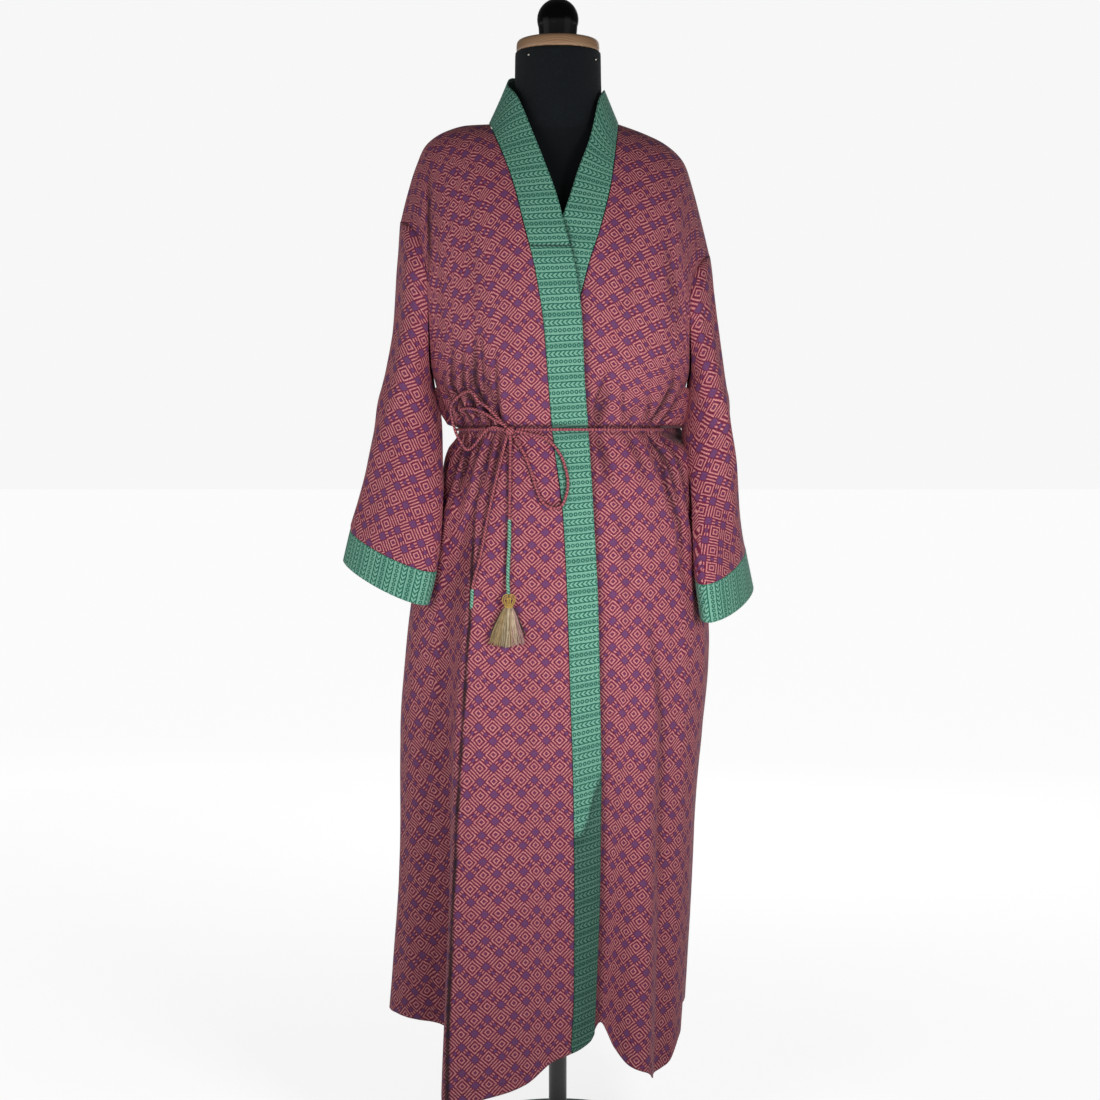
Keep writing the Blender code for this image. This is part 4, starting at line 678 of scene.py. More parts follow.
    def led(self, s: Array, z: Array, seam: Array) -> Array:
        """How far a column moves so that one of them runs down the long fold's edge."""
        top = CREASES[0].points[0][1]
        held = np.minimum(z, top)
        wanted = (self.ring_angle(CREASES[0].line(held), held) - seam) / (-90.0 - seam)
        reach = np.where(s < FOLD_SHARE, s / FOLD_SHARE, (1.0 - s) / (1.0 - FOLD_SHARE))
        return (wanted - FOLD_SHARE) * np.clip(reach, 0.0, 1.0) * fade(z, BELT_Z, top)

    def chest_profile(self, v: Array) -> Array:
        """The share of the ring's depth left up the chest: 1 at the underarm, 0 at the ridge."""
        round_off = np.sqrt(np.clip(1.0 - np.clip(v, 0.0, 1.0) ** 2.6, 0.0, 1.0))
        return round_off * (1.0 + 0.1 * np.sin(math.pi * v))

    def patch(self, side: Side, across: Array, v: Array, low: Sequence[Array],
              top: Sequence[Array], edge: Sequence[Array],
              corners: Sequence[float]) -> tuple[Array, ...]:
        """A chest or back patch between its ring, its ridge, its inner edge and the armhole.

        Args:
            side: the side of the body.
            across: 0 at the inner edge, 1 at the armhole.
            v: 0 at the underarm's ring, 1 at the ridge.
            low: x and y on the ring.
            top: x and z on the ridge.
            edge: x and z on the inner edge.
            corners: the inner edge's x below, its x above and its z above.

        Returns:
            x, the depth and z.
        """
        hole = ARMHOLE[side]
        sign = side.value
        x = (1 - v) * low[0] + v * top[0] + (1 - across) * edge[0] + across * sign * hole.at("x", v)
        z = (1 - v) * UNDERARM_Z + v * top[1] + (1 - across) * edge[1] + across * hole.at("z", v)
        x = x - ((1 - v) * (1 - across) * corners[0] + v * (1 - across) * corners[1]
                 + (1 - v) * across * sign * hole.at("x", 0.0) + v * across * sign * hole.at("x", 1.0))
        z = z - ((1 - v) * UNDERARM_Z + v * (1 - across) * corners[2] + v * across * hole.at("z", 1.0))
        return x, np.abs(low[1]) * self.chest_profile(v) + across ** 3 * hole.at("depth", v), z

    def chest_point(self, side: Side, s: Array, v: Array) -> Array:
        """A point of a front above the underarm, s as in front_angle."""
        sign = side.value
        edge_z = UNDERARM_Z + (NECK_SIDE_Z - UNDERARM_Z) * v
        edge_x = EDGES.at("seam_" + side.word, edge_z)
        across = np.clip(s, 0.0, 1.0)
        angle = self.front_angle(side, s, UNDERARM_Z)
        low_x, low_y, _, _ = self.ring_base(angle, UNDERARM_Z)
        corner_x = EDGES.at("seam_" + side.word, UNDERARM_Z)
        top = (sign * RIDGE[side].at("x", across), RIDGE[side].at("z", across))
        inner_x = np.where(s >= 0, low_x, corner_x)
        x, depth, z = self.patch(side, across, v, (inner_x, low_y), top, (edge_x, edge_z),
                                 (corner_x, sign * RIDGE[side].at("x", 0.0), NECK_SIDE_Z))
        x = np.where(s < 0, x - s * (EDGES.at("free_" + side.word, edge_z) - edge_x), x)
        depth = depth + self.under_lap(side, x, z) + self.gathers(side, angle, z)
        depth = depth + (self.pressed(side, x, z) + self.ripple(angle, z)) * (1.0 - fade(v, *RIDGE_CALM))
        return np.stack([x, -depth, z], -1)

    def back_point(self, s: Array, v: Array) -> Array:
        """A point of the back above the underarm: s is -1 at the right armhole, 1 at the left."""
        angle = 180.0 - 90.0 * s
        low = self.ring_base(angle, UNDERARM_Z)[:2]
        across = np.abs(s)
        inside = np.sin(np.clip(across / NECK_SHARE, 0.0, 1.0) * math.pi / 2)
        round_in = np.sqrt(np.clip(1 - inside ** 2, 0, 1))
        run = np.clip((across - NECK_SHARE) / (1 - NECK_SHARE), 0.0, 1.0)
        edge_z = UNDERARM_Z + (NECK_SIDE_Z - BACK_NECK_DROP - UNDERARM_Z) * v
        parts = []
        for side in Side:
            ridge = RIDGE[side]
            top_x = side.value * np.where(across < NECK_SHARE, ridge.at("x", 0.0) * inside, ridge.at("x", run))
            top_z = np.where(across < NECK_SHARE, NECK_SIDE_Z - BACK_NECK_DROP * round_in, ridge.at("z", run))
            x, depth, z = self.patch(side, across, v, low, (top_x, top_z), (0.0 * v, edge_z),
                                     (0.0, 0.0, NECK_SIDE_Z - BACK_NECK_DROP))
            depth = depth + BACK_NECK_DEPTH * round_in * (1.0 - np.clip(self.chest_profile(v), 0.0, 1.0))
            depth = depth + self.gathers(None, angle, z) * (1 - fade(v, 0.3, 0.7))
            depth = depth + self.ripple(angle, z) * (1.0 - fade(v, *RIDGE_CALM))
            parts.append(np.stack([x, depth, z], -1))
        return np.where((np.asarray(s) < 0)[..., None], parts[0], parts[1])

    def skirt_height(self, run: Array, angle: Array) -> Array:
        """The height of a run up to 2 at a ring angle."""
        hem = HEM.at("z", angle_side(angle))
        waist = BELT_Z + (run - 1.0) * (UNDERARM_Z - BELT_Z)
        return np.where(run <= 1.0, hem + (BELT_Z - hem) * np.clip(run, 0.0, 1.0), waist)

    def front(self, side: Side) -> Surface:
        """One side's whole front as a function of s and the run: the hem 0, the belt 1, the ridge 3."""
        def surface(s: Array, run: Array) -> Array:
            angle = self.front_angle(side, s, BELT_Z + 0 * s)
            z = self.skirt_height(np.minimum(run, 2.0), angle)
            angle = self.front_angle(side, s, z)
            z = self.skirt_height(np.minimum(run, 2.0), angle)
            low = self.ring_point(side, angle, z)
            high = self.chest_point(side, s, np.clip(run - 2.0, 0.0, 1.0))
            return self.off_ridge(np.where((run <= 2.0)[..., None], low, high), run, -1)
        return surface

    def back(self) -> Surface:
        """The whole back as a function of s and the run."""
        def surface(s: Array, run: Array) -> Array:
            angle = 180.0 - 90.0 * s
            z = self.skirt_height(np.minimum(run, 2.0), angle)
            low = self.ring_point(None, angle, z)
            high = self.back_point(s, np.clip(run - 2.0, 0.0, 1.0))
            return self.off_ridge(np.where((run <= 2.0)[..., None], low, high), run, 1)
        return surface

    def off_ridge(self, point: Array, run: Array, way: int) -> Array:
        """Points held half a seam short of the shoulder ridge."""
        point = np.array(point)
        held = way * np.maximum(way * point[..., 1], SEAM / 2)
        point[..., 1] = np.where(run > 2.95, held, point[..., 1])
        return point

    def neck(self) -> Surface:
        """The neck band by u, 0 at its free edge and 1 at its seam, and its run from 0 to 3."""
        def surface(u: Array, run: Array) -> Array:
            seam = self.neck_seam(run)
            free = np.stack([NECK_BAND.at(axis, run) for axis in "xyz"], -1)
            end = 0.007 * (1.0 - fade(run, 0.0, 0.15)) + 0.009 * fade(run, 2.85, 3.0)
            v = (NECK_BAND.at("z", run) - end - UNDERARM_Z) / (NECK_SIDE_Z - UNDERARM_Z)
            laid = ((Side.RIGHT, 1.0 - fade(run, 0.15, 0.6)), (Side.LEFT, fade(run, 2.3, 2.65)))
            for side, lies in laid:
                on_chest = self.chest_point(side, -np.ones_like(run), v)
                free = free + (on_chest - free) * lies[..., None]
            width = np.linalg.norm(free - seam, axis=-1)
            seat = fade(0.9 - np.abs(run - 1.5), 0.0, 0.5)
            lift = NECK_SEAT_FRONT + (NECK_SEAT_BACK - NECK_SEAT_FRONT) * seat
            share = 1.0 - (1.0 - u) * (1.0 - lift / width) - lift / width
            return free + (seam - free) * share[..., None]
        return surface

    def neck_seam(self, run: Array) -> Array:
        """The neck band's sewn edge, which follows the fronts and the back neck."""
        v = (NECK_BAND.at("seam_z", run) - UNDERARM_Z) / (NECK_SIDE_Z - UNDERARM_Z)
        right, left = (self.chest_point(side, np.zeros_like(run), v) for side in Side)
        turn = np.clip((run - 1.0), 0.0, 1.0) * math.pi
        cos = np.cos(turn)
        wide = np.where(cos > 0, RIDGE[Side.RIGHT].at("x", 0.0), RIDGE[Side.LEFT].at("x", 0.0))
        around = np.stack([-wide * cos, BACK_NECK_DEPTH * np.sin(turn),
                           NECK_SIDE_Z - BACK_NECK_DROP * np.sin(turn)], -1)
        return np.where((run < 1.0)[..., None], right, np.where((run > 2.0)[..., None], left, around))

    def sleeve(self, side: Side) -> Surface:
        """A sleeve by the turn round it and the run down it: -1 at the armhole's top, 1 at the cuff."""
        def surface(turn: Array, run: Array) -> Array:
            head = self.sleeve_head(side, turn, np.clip(-run, 0.0, 1.0))
            ring = self.clear_of_body(self.sleeve_ring(side, turn, np.maximum(run, 0.0)))
            point = np.where((run < 0.0)[..., None], head, ring)
            outer = np.array([side.value, 0.0, 0.0])
            drape = self.sleeve_wrinkle(side, turn, run)
            held = np.maximum(run, 0)
            way = point - np.stack([side.value * SLEEVE[side].at("outer", held) * 0.86,
                                    SLEEVE[side].at("middle_y", held) + 0 * turn, point[..., 2]], -1)
            way = way / np.maximum(np.linalg.norm(way, axis=-1, keepdims=True), 1e-6)
            return point + (0.9 * way + 0.1 * outer) * drape[..., None]
        return surface

    def sleeve_wrinkle(self, side: Side, turn: Array, run: Array) -> Array:
        """Long soft drapes down the sleeve and short creases near the elbow's bend."""
        long = np.sin(3.0 * turn + 1.1 * side.value + 1.6 * run) * 0.0016
        short = np.sin(7.0 * turn - 5.0 * run + 0.8) * 0.0009
        slant = bell(run - 0.15, 0.3) * np.sin(11.0 * run + 2.2 * np.sin(turn)) * 0.0014
        open_part = fade(run, -0.95, -0.6) * (1.0 - fade(run, 0.96, 1.0))
        seam_calm = fade(np.abs(np.sin(turn / 2.0)), 0.12, 0.45)
        return (long + short + slant) * open_part * seam_calm

    def sleeve_head(self, side: Side, turn: Array, share: Array) -> Array:
        """An arc of the sleeve beside the armhole, from its front seam outside to its back seam."""
        hole = ARMHOLE[side]
        seam_depth = hole.at("depth", share)
        closed = SLEEVE[side].at("depth", 0.0) * (1.0 - fade(share, 0.0, 0.6))
        deep = np.maximum(np.hypot(1.04 * seam_depth, closed), 1e-6)
        start = np.arcsin(np.clip(seam_depth / deep, 0.0, 1.0))
        gap = (SLEEVE_GAP + UNDERARM_GAP) * (1.0 - fade(share, 0.15, 0.55))
        seam_x = hole.at("x", share) + 0.0004 + gap
        outer = SLEEVE_HEAD[side].at("outer", share) - 0.0012 * fade(share, 0.8, 1.0)
        half = (outer - seam_x) / (1.0 + np.cos(start))
        angle = start + turn * (1.0 - start / math.pi)
        return np.stack([side.value * (outer - half - half * np.cos(angle)), -deep * np.sin(angle),
                         hole.at("z", share) + 0.0 * turn], -1)

    def sleeve_ring(self, side: Side, turn: Array, run: Array) -> Array:
        """The sleeve's ring at a run from the underarm (0) past the cuff's seam (1)."""
        outer, outer_z, inner, inner_z, middle_y, deep, lean = (
            SLEEVE[side].at(name, run) for name in SLEEVE[side].names[1:])
        lean = np.radians(lean)
        half = (outer - inner) / 2
        long_half = np.sqrt(np.maximum(half ** 2 - (deep * np.sin(lean)) ** 2, 1e-6)) / np.cos(lean)
        rise = (outer_z - inner_z) / 2
        cos = np.cos(turn)
        sin = np.sin(turn)
        out = (outer + inner) / 2 - cos * long_half * np.cos(lean) + sin * deep * np.sin(lean)
        y = middle_y - cos * long_half * np.sin(lean) - sin * deep * np.cos(lean)
        z = (outer_z + inner_z) / 2 - cos * rise
        return np.stack([side.value * out, y, z], -1)

    def clear_of_body(self, point: Array) -> Array:
        """Push a sleeve's points out of the skirt that it rests against."""
        x, y, z = point[..., 0], point[..., 1], np.minimum(point[..., 2], UNDERARM_Z)
        wide = self.half_width(np.sign(x), z)
        deep = np.where(y < 0, BODY.at("front", z), BODY.at("back", z))
        size = ((np.abs(x) / wide) ** RING_POWER + (np.abs(y) / deep) ** RING_POWER) ** (1 / RING_POWER)
        angle = np.degrees(np.arctan2(np.sign(x) * (np.abs(x) / wide) ** (RING_POWER / 2),
                                      -np.sign(y) * (np.abs(y) / deep) ** (RING_POWER / 2)))
        out, _ = self.folds(angle, z)
        clear = SLEEVE_CLEAR * fade(UNDERARM_Z - z, 0.0, 0.03) + SLEEVE_GAP + UNDERARM_GAP
        need = 1.0 + (np.maximum(out, 0.0) + clear) / np.hypot(x, y)
        push = np.maximum(need / size, 1.0)
        return np.stack([x * push, y * push, point[..., 2]], -1)

    def front_y(self, x: float, z: float) -> float:
        """The y of the right front's middle surface at x and z, with no gathers, below the underarm."""
        wide = self.half_width(np.sign(x), z) * CLOTH_SIDE_SHARE
        held_x = np.clip(x, -wide, wide)
        angle = self.ring_angle(held_x, z)
        for _ in range(30):
            point = self.ring_point(Side.RIGHT, angle, np.asarray(z), fine=False)
            angle = angle + DEGREES_PER_METRE * (held_x - point[0])
        return float(point[1])


def deselect() -> None:
    """Leave nothing selected and no mode but object mode."""
    if bpy.context.object is not None and bpy.context.object.mode != "OBJECT":
        bpy.ops.object.mode_set(mode="OBJECT")
    bpy.ops.object.select_all(action="DESELECT")


def pick(*items: Item) -> None:
    """Select some objects alone and make the first one active."""
    deselect()
    for item in items:
        item.select_set(True)
    bpy.context.view_layer.objects.active = items[0]


def settle(item: Item) -> Item:
    """Put an object's place, turn and size into its mesh."""
    pick(item)
    bpy.ops.object.transform_apply(location=True, rotation=True, scale=True)
    return item


def joined(parts: Sequence[Item], name: str) -> Item:
    """Several objects made into one, under one name."""
    pick(*parts)
    bpy.ops.object.join()
    item = bpy.context.object
    item.name = name
    return item


def linked(name: str, data: bpy.types.ID) -> Item:
    """A new object of some data, linked to the scene."""
    item = bpy.data.objects.new(name, data)
    bpy.context.scene.collection.objects.link(item)
    return item


def mesh_item(name: str, points: Sequence, faces: Sequence) -> Item:
    """A mesh object with smooth faces, linked to the scene."""
    mesh = bpy.data.meshes.new(name)
    mesh.from_pydata([tuple(p) for p in points], [], faces)
    mesh.shade_smooth()
    return linked(name, mesh)


def face_outward(mesh: bpy.types.Mesh) -> None:
    """Drop a mesh's loose points and turn its faces the same way out."""
    work = bmesh.new()
    work.from_mesh(mesh)
    loose = [vertex for vertex in work.verts if not vertex.link_faces]
    bmesh.ops.delete(work, geom=loose, context="VERTS")
    bmesh.ops.recalc_face_normals(work, faces=work.faces)
    work.to_mesh(mesh)
    work.free()


def write_points(mesh: bpy.types.Mesh, name: str, values: Array) -> None:
    """Keep one number for each of a mesh's points, under a name that its finish reads."""
    mesh.attributes.new(name, "FLOAT", "POINT").data.foreach_set("value", values.ravel().astype(np.float32))


def walked(points: Array, axis: int = 0) -> Array:
    """The length walked along one axis of a line or a grid of points, 0 at its first point."""
    steps = np.linalg.norm(np.diff(points, axis=axis), axis=-1)
    return np.insert(np.cumsum(steps, axis=axis), 0, 0.0, axis=axis)


def stand_for(item: Item, node: str) -> Item:
    """Tie an object to its body and hide the CAD node that it stands for."""
    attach(item, BODY_NAME)
    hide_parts(node)
    return item


@dataclass
class Sheet:
    """A cut piece of cloth: its surface, where its grid stands, its wall and its print.

    Args of the class: across and along are the grid's places, and flat, its size cut flat, is not used.
    joined marks a tube, open over its first open_rows. The print counts from datum, or along axis where
    one is given; shift and skew move it, straight_rows and turned_print set its rows. hollow gives the
    cloth's painted shade, and rests, what it lies on, is not used.
    """

    name: str
    node: str
    surface: Surface
    across: Array
    along: Array
    wall: float
    flat: tuple[float, float]
    area: Optional[float] = None
    joined: bool = False
    open_rows: int = 0
    shift: tuple[float, float] = (0.0, 0.0)
    skew: Optional[Callable[[Array, "Sheet"], tuple[Array, Array]]] = None
    axis: Optional[tuple[float, float, float]] = None
    painted_shade: Optional[Callable[[Array, "Sheet"], Array]] = None
    straight_rows: bool = False
    turned_print: bool = False
    datum: float = 0.0
    rests: tuple[str, ...] = ("form_torso",)

    def print_places(self, grid: Array) -> Array:
        """Print coordinates in metres along the cloth, from lengths measured on the surface.

        Args:
            grid: the surface's points.

        Returns:
            The across and along coordinates of each point.
        """
        if self.axis is None:
            across = walked(grid)
            along = walked(grid, 1)
            row = int(np.argmin(np.abs(self.along - self.datum)))
            along = along - along[:, row:row + 1]
        else:
            steps = np.diff(grid, axis=0)
            squares = np.linalg.norm(steps, axis=-1) ** 2 - (steps @ np.array(self.axis)) ** 2
            sideways = np.sqrt(np.maximum(squares, 0.0))
            across = np.insert(np.cumsum(sideways, axis=0), 0, 0.0, axis=0)
            across = across - across[len(across) // 2]
            along = grid @ np.array(self.axis)
        if self.straight_rows:
            along = np.repeat(along[len(along) // 2][None, :], len(along), axis=0)
        if self.skew is not None:
            move_across, move_along = self.skew(grid, self)
            across, along = across + move_across, along + move_along
        places = (along, across) if self.turned_print else (across, along)
        return np.stack([places[0] + self.shift[0], places[1] + self.shift[1]], -1)

    def make(self) -> Item:
        """Build the sheet with its wall.

        Returns:
            The finished mesh object, with its print map, its distances from the hem and its shade.
        """
        grid = self.surface(*np.meshgrid(self.across, self.along, indexing="ij"))
        wide, tall = grid.shape[:2]
        index = np.arange(wide * tall).reshape(wide, tall)
        if self.joined:
            index[-1, self.open_rows:] = index[0, self.open_rows:]
        cells = np.array([(i, j) for i in range(wide - 1) for j in range(tall - 1)])
        columns, rows = (cells[:, None, :] + np.array(CORNERS)).reshape(-1, 2).T
        item = mesh_item(self.name, grid.reshape(-1, 3), index[columns, rows].reshape(-1, 4).tolist())
        mesh = item.data
        places = self.print_places(grid)[columns, rows].astype(np.float32)
        mesh.uv_layers.new(name="Cloth").data.foreach_set("uv", places.ravel())
        write_points(mesh, "hem", walked(grid, 1))
        # Painted shade of folds and cords, kept on each point for the finish to mix into the colour.
        if self.painted_shade is not None:
            write_points(mesh, "painted_shade", self.painted_shade(grid, self))
        face_outward(mesh)
        wall = item.modifiers.new("wall", "SOLIDIFY")
        wall.thickness = self.wall
        wall.offset = 0.0
        wall.use_even_offset = False
        pick(item)
        bpy.ops.object.modifier_apply(modifier=wall.name)
        return item


def dense(places: Sequence[float], step: float) -> Array:
    """Places filled in so that none is further than a step from the next."""
    filled = [places[0]]
    for place in places[1:]:
        parts = max(1, math.ceil((place - filled[-1]) / step))
        start = filled[-1]
        filled.extend(start + (place - start) * (k + 1) / parts for k in range(parts))
    return np.array(filled)


def smooth_line(points: Sequence[tuple[float, float, float]], step: float) -> Array:
    """Points at an even step along the smooth curve through given points."""
    nodes = np.array(points, float)
    nodes = np.vstack([2 * nodes[0] - nodes[1], nodes, 2 * nodes[-1] - nodes[-2]])
    fine = []
    for k in range(1, len(nodes) - 2):
        a, b, c, d = nodes[k - 1:k + 3]
        for part in range(CURVE_PARTS):
            t = part / CURVE_PARTS
            fine.append(0.5 * (2 * b + (c - a) * t + (2 * a - 5 * b + 4 * c - d) * t * t
                               + (3 * b - a - 3 * c + d) * t ** 3))
    fine.append(nodes[-2])
    xyz = np.array(fine)
    lengths = walked(xyz)
    places = np.linspace(0.0, lengths[-1], max(6, round(lengths[-1] / step) + 1))
    return np.stack([np.interp(places, lengths, xyz[:, k]) for k in range(3)], -1)


def lofted(name: str, points: Sequence, sides: int, step: float, lengths: Sequence[float],
           sharp: float) -> Item:
    """A closed mesh through rings of points.

    Args:
        name: the object's name.
        points: the rings' points, ring after ring.
        sides: the points in each ring.
        step: a side's width in metres on the map.
        lengths: where each ring stands along the map, in metres.
        sharp: the angle in degrees above which an edge is sharp.

    Returns:
        The closed mesh, with the map "Cloth" round and along it.
    """
    last = len(lengths) - 1
    corners = [[(corner + a, k + b) for a, b in CORNERS] for k in range(last) for corner in range(sides)]
    corners.append([(corner, 0) for corner in range(sides)][::-1])
    corners.append([(corner, last) for corner in range(sides)])
    item = mesh_item(name, points, [[k * sides + corner % sides for corner, k in face] for face in corners])
    flat = [value for face in corners for corner, k in face for value in (corner * step, lengths[k])]
    item.data.uv_layers.new(name="Cloth").data.foreach_set("uv", flat)
    face_outward(item.data)
    item.data.set_sharp_from_angle(angle=math.radians(sharp))
    return item


def tube(name: str, line: Array, radius: Callable[[float], float], sides: int,
         groove: float = 0.0, turns_per_metre: float = 0.0, lobes: int = 0) -> Item:
    """A closed mesh tube along a line, its surface lightly grooved as a rolled or plied cord is.

    Args:
        name: the object's name.
        line: the points that it follows.
        radius: the radius at a share along it.
        sides: the number of its sides.
        groove: the depth of the grooves as a share of the radius.
        turns_per_metre: how fast the grooves wind.
        lobes: how many grooves there are round it.

    Returns:
        The tube, with the map "Cloth" round and along it in metres.
    """
    way = np.gradient(line, axis=0)
    way /= np.linalg.norm(way, axis=1, keepdims=True)
    side = np.cross(way[0], (0.0, 0.0, 1.0))
    if np.linalg.norm(side) < 0.2:
        side = np.cross(way[0], (1.0, 0.0, 0.0))
    lengths = walked(line)
    points = []
    for k, length in enumerate(lengths):
        side = side - way[k] * np.dot(side, way[k])
        side = side / np.linalg.norm(side)
        up = np.cross(way[k], side)
        size = radius(length / lengths[-1])
        for corner in range(sides):
            angle = 2 * math.pi * corner / sides
            dent = groove * (0.5 - 0.5 * math.cos(lobes * (angle - 2 * math.pi * turns_per_metre * length)))
            points.append(line[k] + size * (1.0 - dent) * (math.cos(angle) * side + math.sin(angle) * up))
    return lofted(name, points, sides, 2 * math.pi * radius(0.5) / sides, lengths, 60.0)


class Value:
    """A shader's value: arithmetic with it adds Math nodes to its graph."""

    def __init__(self, graph: "Graph", socket: bpy.types.NodeSocket) -> None:
        """Keep the graph and the socket that gives the value."""
        self.graph, self.socket = graph, socket

    def __add__(self, other: "Term") -> "Value":
        """The sum with another value."""
        return self.graph.math("ADD", self, other)

    def __sub__(self, other: "Term") -> "Value":
        """The value less another."""
        return self.graph.math("SUBTRACT", self, other)

    def __rsub__(self, other: "Term") -> "Value":
        """Another value less this one."""
        return self.graph.math("SUBTRACT", other, self)

    def __mul__(self, other: "Term") -> "Value":
        """The product with another value."""
        return self.graph.math("MULTIPLY", self, other)

    def __truediv__(self, other: "Term") -> "Value":
        """The value over another."""
        return self.graph.math("DIVIDE", self, other)

    def __mod__(self, other: "Term") -> "Value":
        """What is left over, never below 0."""
        return self.graph.math("FLOORED_MODULO", self, other)

    def __abs__(self) -> "Value":
        """The value without its sign."""
        return self.graph.math("ABSOLUTE", self)

    def rounded(self) -> "Value":
        """The nearest whole number."""
        return self.graph.math("ROUND", self)

    def floor(self) -> "Value":
        """The whole number below."""
        return self.graph.math("FLOOR", self)

    def root(self) -> "Value":
        """The square root."""
        return self.graph.math("SQRT", self)


Term = Union[Value, float, tuple]
Colour = tuple[float, float, float]


class Graph:
    """A small builder of shader nodes for one material."""

    def __init__(self, name: str) -> None:
        """Start a material with its Principled shader."""
        self.material = bpy.data.materials.new(name)
        self.material.use_nodes = True
        self.tree = self.material.node_tree
        self.shader = self.tree.nodes["Principled BSDF"]

    def put(self, kind: str, **settings: object) -> bpy.types.Node:
        """Add a node and set its plain properties."""
        node = self.tree.nodes.new(kind)
        for name, value in settings.items():
            setattr(node, name, value)
        return node

    def feed(self, socket: bpy.types.NodeSocket, value: Term) -> None:
        """Link a socket to a value, or set it."""
        if isinstance(value, Value):
            self.tree.links.new(value.socket, socket)
        else:
            socket.default_value = value

    def fed(self, node: bpy.types.Node, output: Union[int, str], inputs: dict) -> Value:
        """Feed a node's inputs by name or number and give one of its outputs."""
        for key, value in inputs.items():
            self.feed(node.inputs[key], value)
        return Value(self, node.outputs[output])

    def math(self, operation: str, a: Term, b: Term = 0.0) -> Value:
        """One Math node's result."""
        return self.fed(self.put("ShaderNodeMath", operation=operation), 0, {0: a, 1: b, 2: 0.0})

    def highest(self, *values: Term) -> Value:
        """The highest of several values."""
        result = values[0]
        for value in values[1:]:
            result = self.math("MAXIMUM", result, value)
        return result

    def wave(self, value: Value, pitch: float) -> Value:
        """A sine wave of a pitch along a value, from -1 to 1."""
        return self.math("SINE", value * (2 * math.pi / pitch))

    def inside(self, value: Value, middle: float, half: float, soft: float) -> Value:
        """1 where a value is within half of the middle, softened at both sides."""
        return self.ramp(abs(value - middle), half + soft, half - soft)

    def ramp(self, value: Term, zero: float, one: float) -> Value:
        """0 at one value and 1 at the other, straight between and held outside."""
        low, high, start, end = (zero, one, 0.0, 1.0) if zero < one else (one, zero, 1.0, 0.0)
        return self.fed(self.put("ShaderNodeMapRange", clamp=True), "Result", {
            "Value": value, "From Min": low, "From Max": high, "To Min": start, "To Max": end})

    def mix(self, share: Term, a: Term, b: Term) -> Value:
        """A colour between a and b."""
        return self.fed(self.put("ShaderNodeMix", data_type="RGBA"), 2, {0: share, 6: a, 7: b})

    def tone(self, value: Term, zero: float, one: float, dark: Colour, light: Colour) -> Value:
        """A colour that goes from dark to light as a value goes from zero to one."""
        return self.mix(self.ramp(value, zero, one), linear(*dark), linear(*light))

    def cover(self, colour: Value, share: Term, over: Colour) -> Value:
        """A colour covered by another as far as a share says."""
        return self.mix(share, colour, linear(*over))

    def noise(self, vector: Value, scale: float, detail: float = 2.0, rough: float = 0.5) -> Value:
        """A noise value about 0.5."""
        return self.fed(self.put("ShaderNodeTexNoise"), "Fac", {
            "Vector": vector, "Scale": scale, "Detail": detail, "Roughness": rough})

    def drift(self, vector: Value, scale: float, reach: float) -> Value:
        """A noise value about 0, as far out as a reach."""
        return (self.noise(vector, scale) - 0.5) * reach

    def map(self) -> Value:
        """A piece's own UV map."""
        return Value(self, self.put("ShaderNodeUVMap", uv_map="Cloth").outputs["UV"])

    def kept(self, name: str) -> Value:
        """A value that each point of the piece keeps by name: its painted shade, 0 to 1, or "hem"."""
        return Value(self, self.put("ShaderNodeAttribute", attribute_name=name).outputs["Fac"])

    def object_place(self) -> Value:
        """A piece's Object coordinates."""
        return Value(self, self.put("ShaderNodeTexCoord").outputs["Object"])

    def split(self, vector: Value) -> tuple[Value, ...]:
        """A vector's three parts."""
        node = self.put("ShaderNodeSeparateXYZ")
        self.feed(node.inputs[0], vector)
        return tuple(Value(self, output) for output in node.outputs)

    def join(self, x: Term, y: Term, z: Term = 0.0) -> Value:
        """A vector of three parts."""
        return self.fed(self.put("ShaderNodeCombineXYZ"), 0, {0: x, 1: y, 2: z})

    def bump(self, height: Value, strength: float, distance: float) -> None:
        """Raise the surface by a height in units of the distance."""
        self.set(Normal=self.fed(self.put("ShaderNodeBump"), 0, {
            "Strength": strength, "Distance": distance, "Height": height}))

    def set(self, **sockets: Term) -> None:
        """Feed the shader's sockets by name, an underscore standing for a space."""
        for name, value in sockets.items():
            self.feed(self.shader.inputs[name.replace("_", " ")], value)


def linear(red: float, green: float, blue: float) -> tuple[float, float, float, float]:
    """A colour given from 0 to 255, as the shader's linear value."""
    parts = [(c / 255 / 12.92) if c <= 10 else ((c / 255 + 0.055) / 1.055) ** 2.4 for c in (red, green, blue)]
    return (*parts, 1.0)


class Finish:
    """A finish that dresses pieces in one material, made the first time that it is asked for."""

    name = "finish"

    def __init__(self) -> None:
        """No material is made yet."""
        self.made: Optional[bpy.types.Material] = None

    def draw(self, graph: Graph) -> None:
        """Draw the finish's nodes."""
        raise NotImplementedError

    def on(self, item: Item) -> Item:
        """Dress an object in this finish alone."""
        if self.made is None:
            graph = Graph(self.name)
            self.draw(graph)
            self.made = graph.material
        item.data.materials.clear()
        item.data.materials.append(self.made)
        return item


def weave(graph: Graph, u: Value, v: Value, pitch: float) -> Value:
    """A plain weave's height, warp and weft threads crossing over and under."""
    return graph.wave(u, pitch) * 0.5 + graph.wave(v, pitch) * 0.5


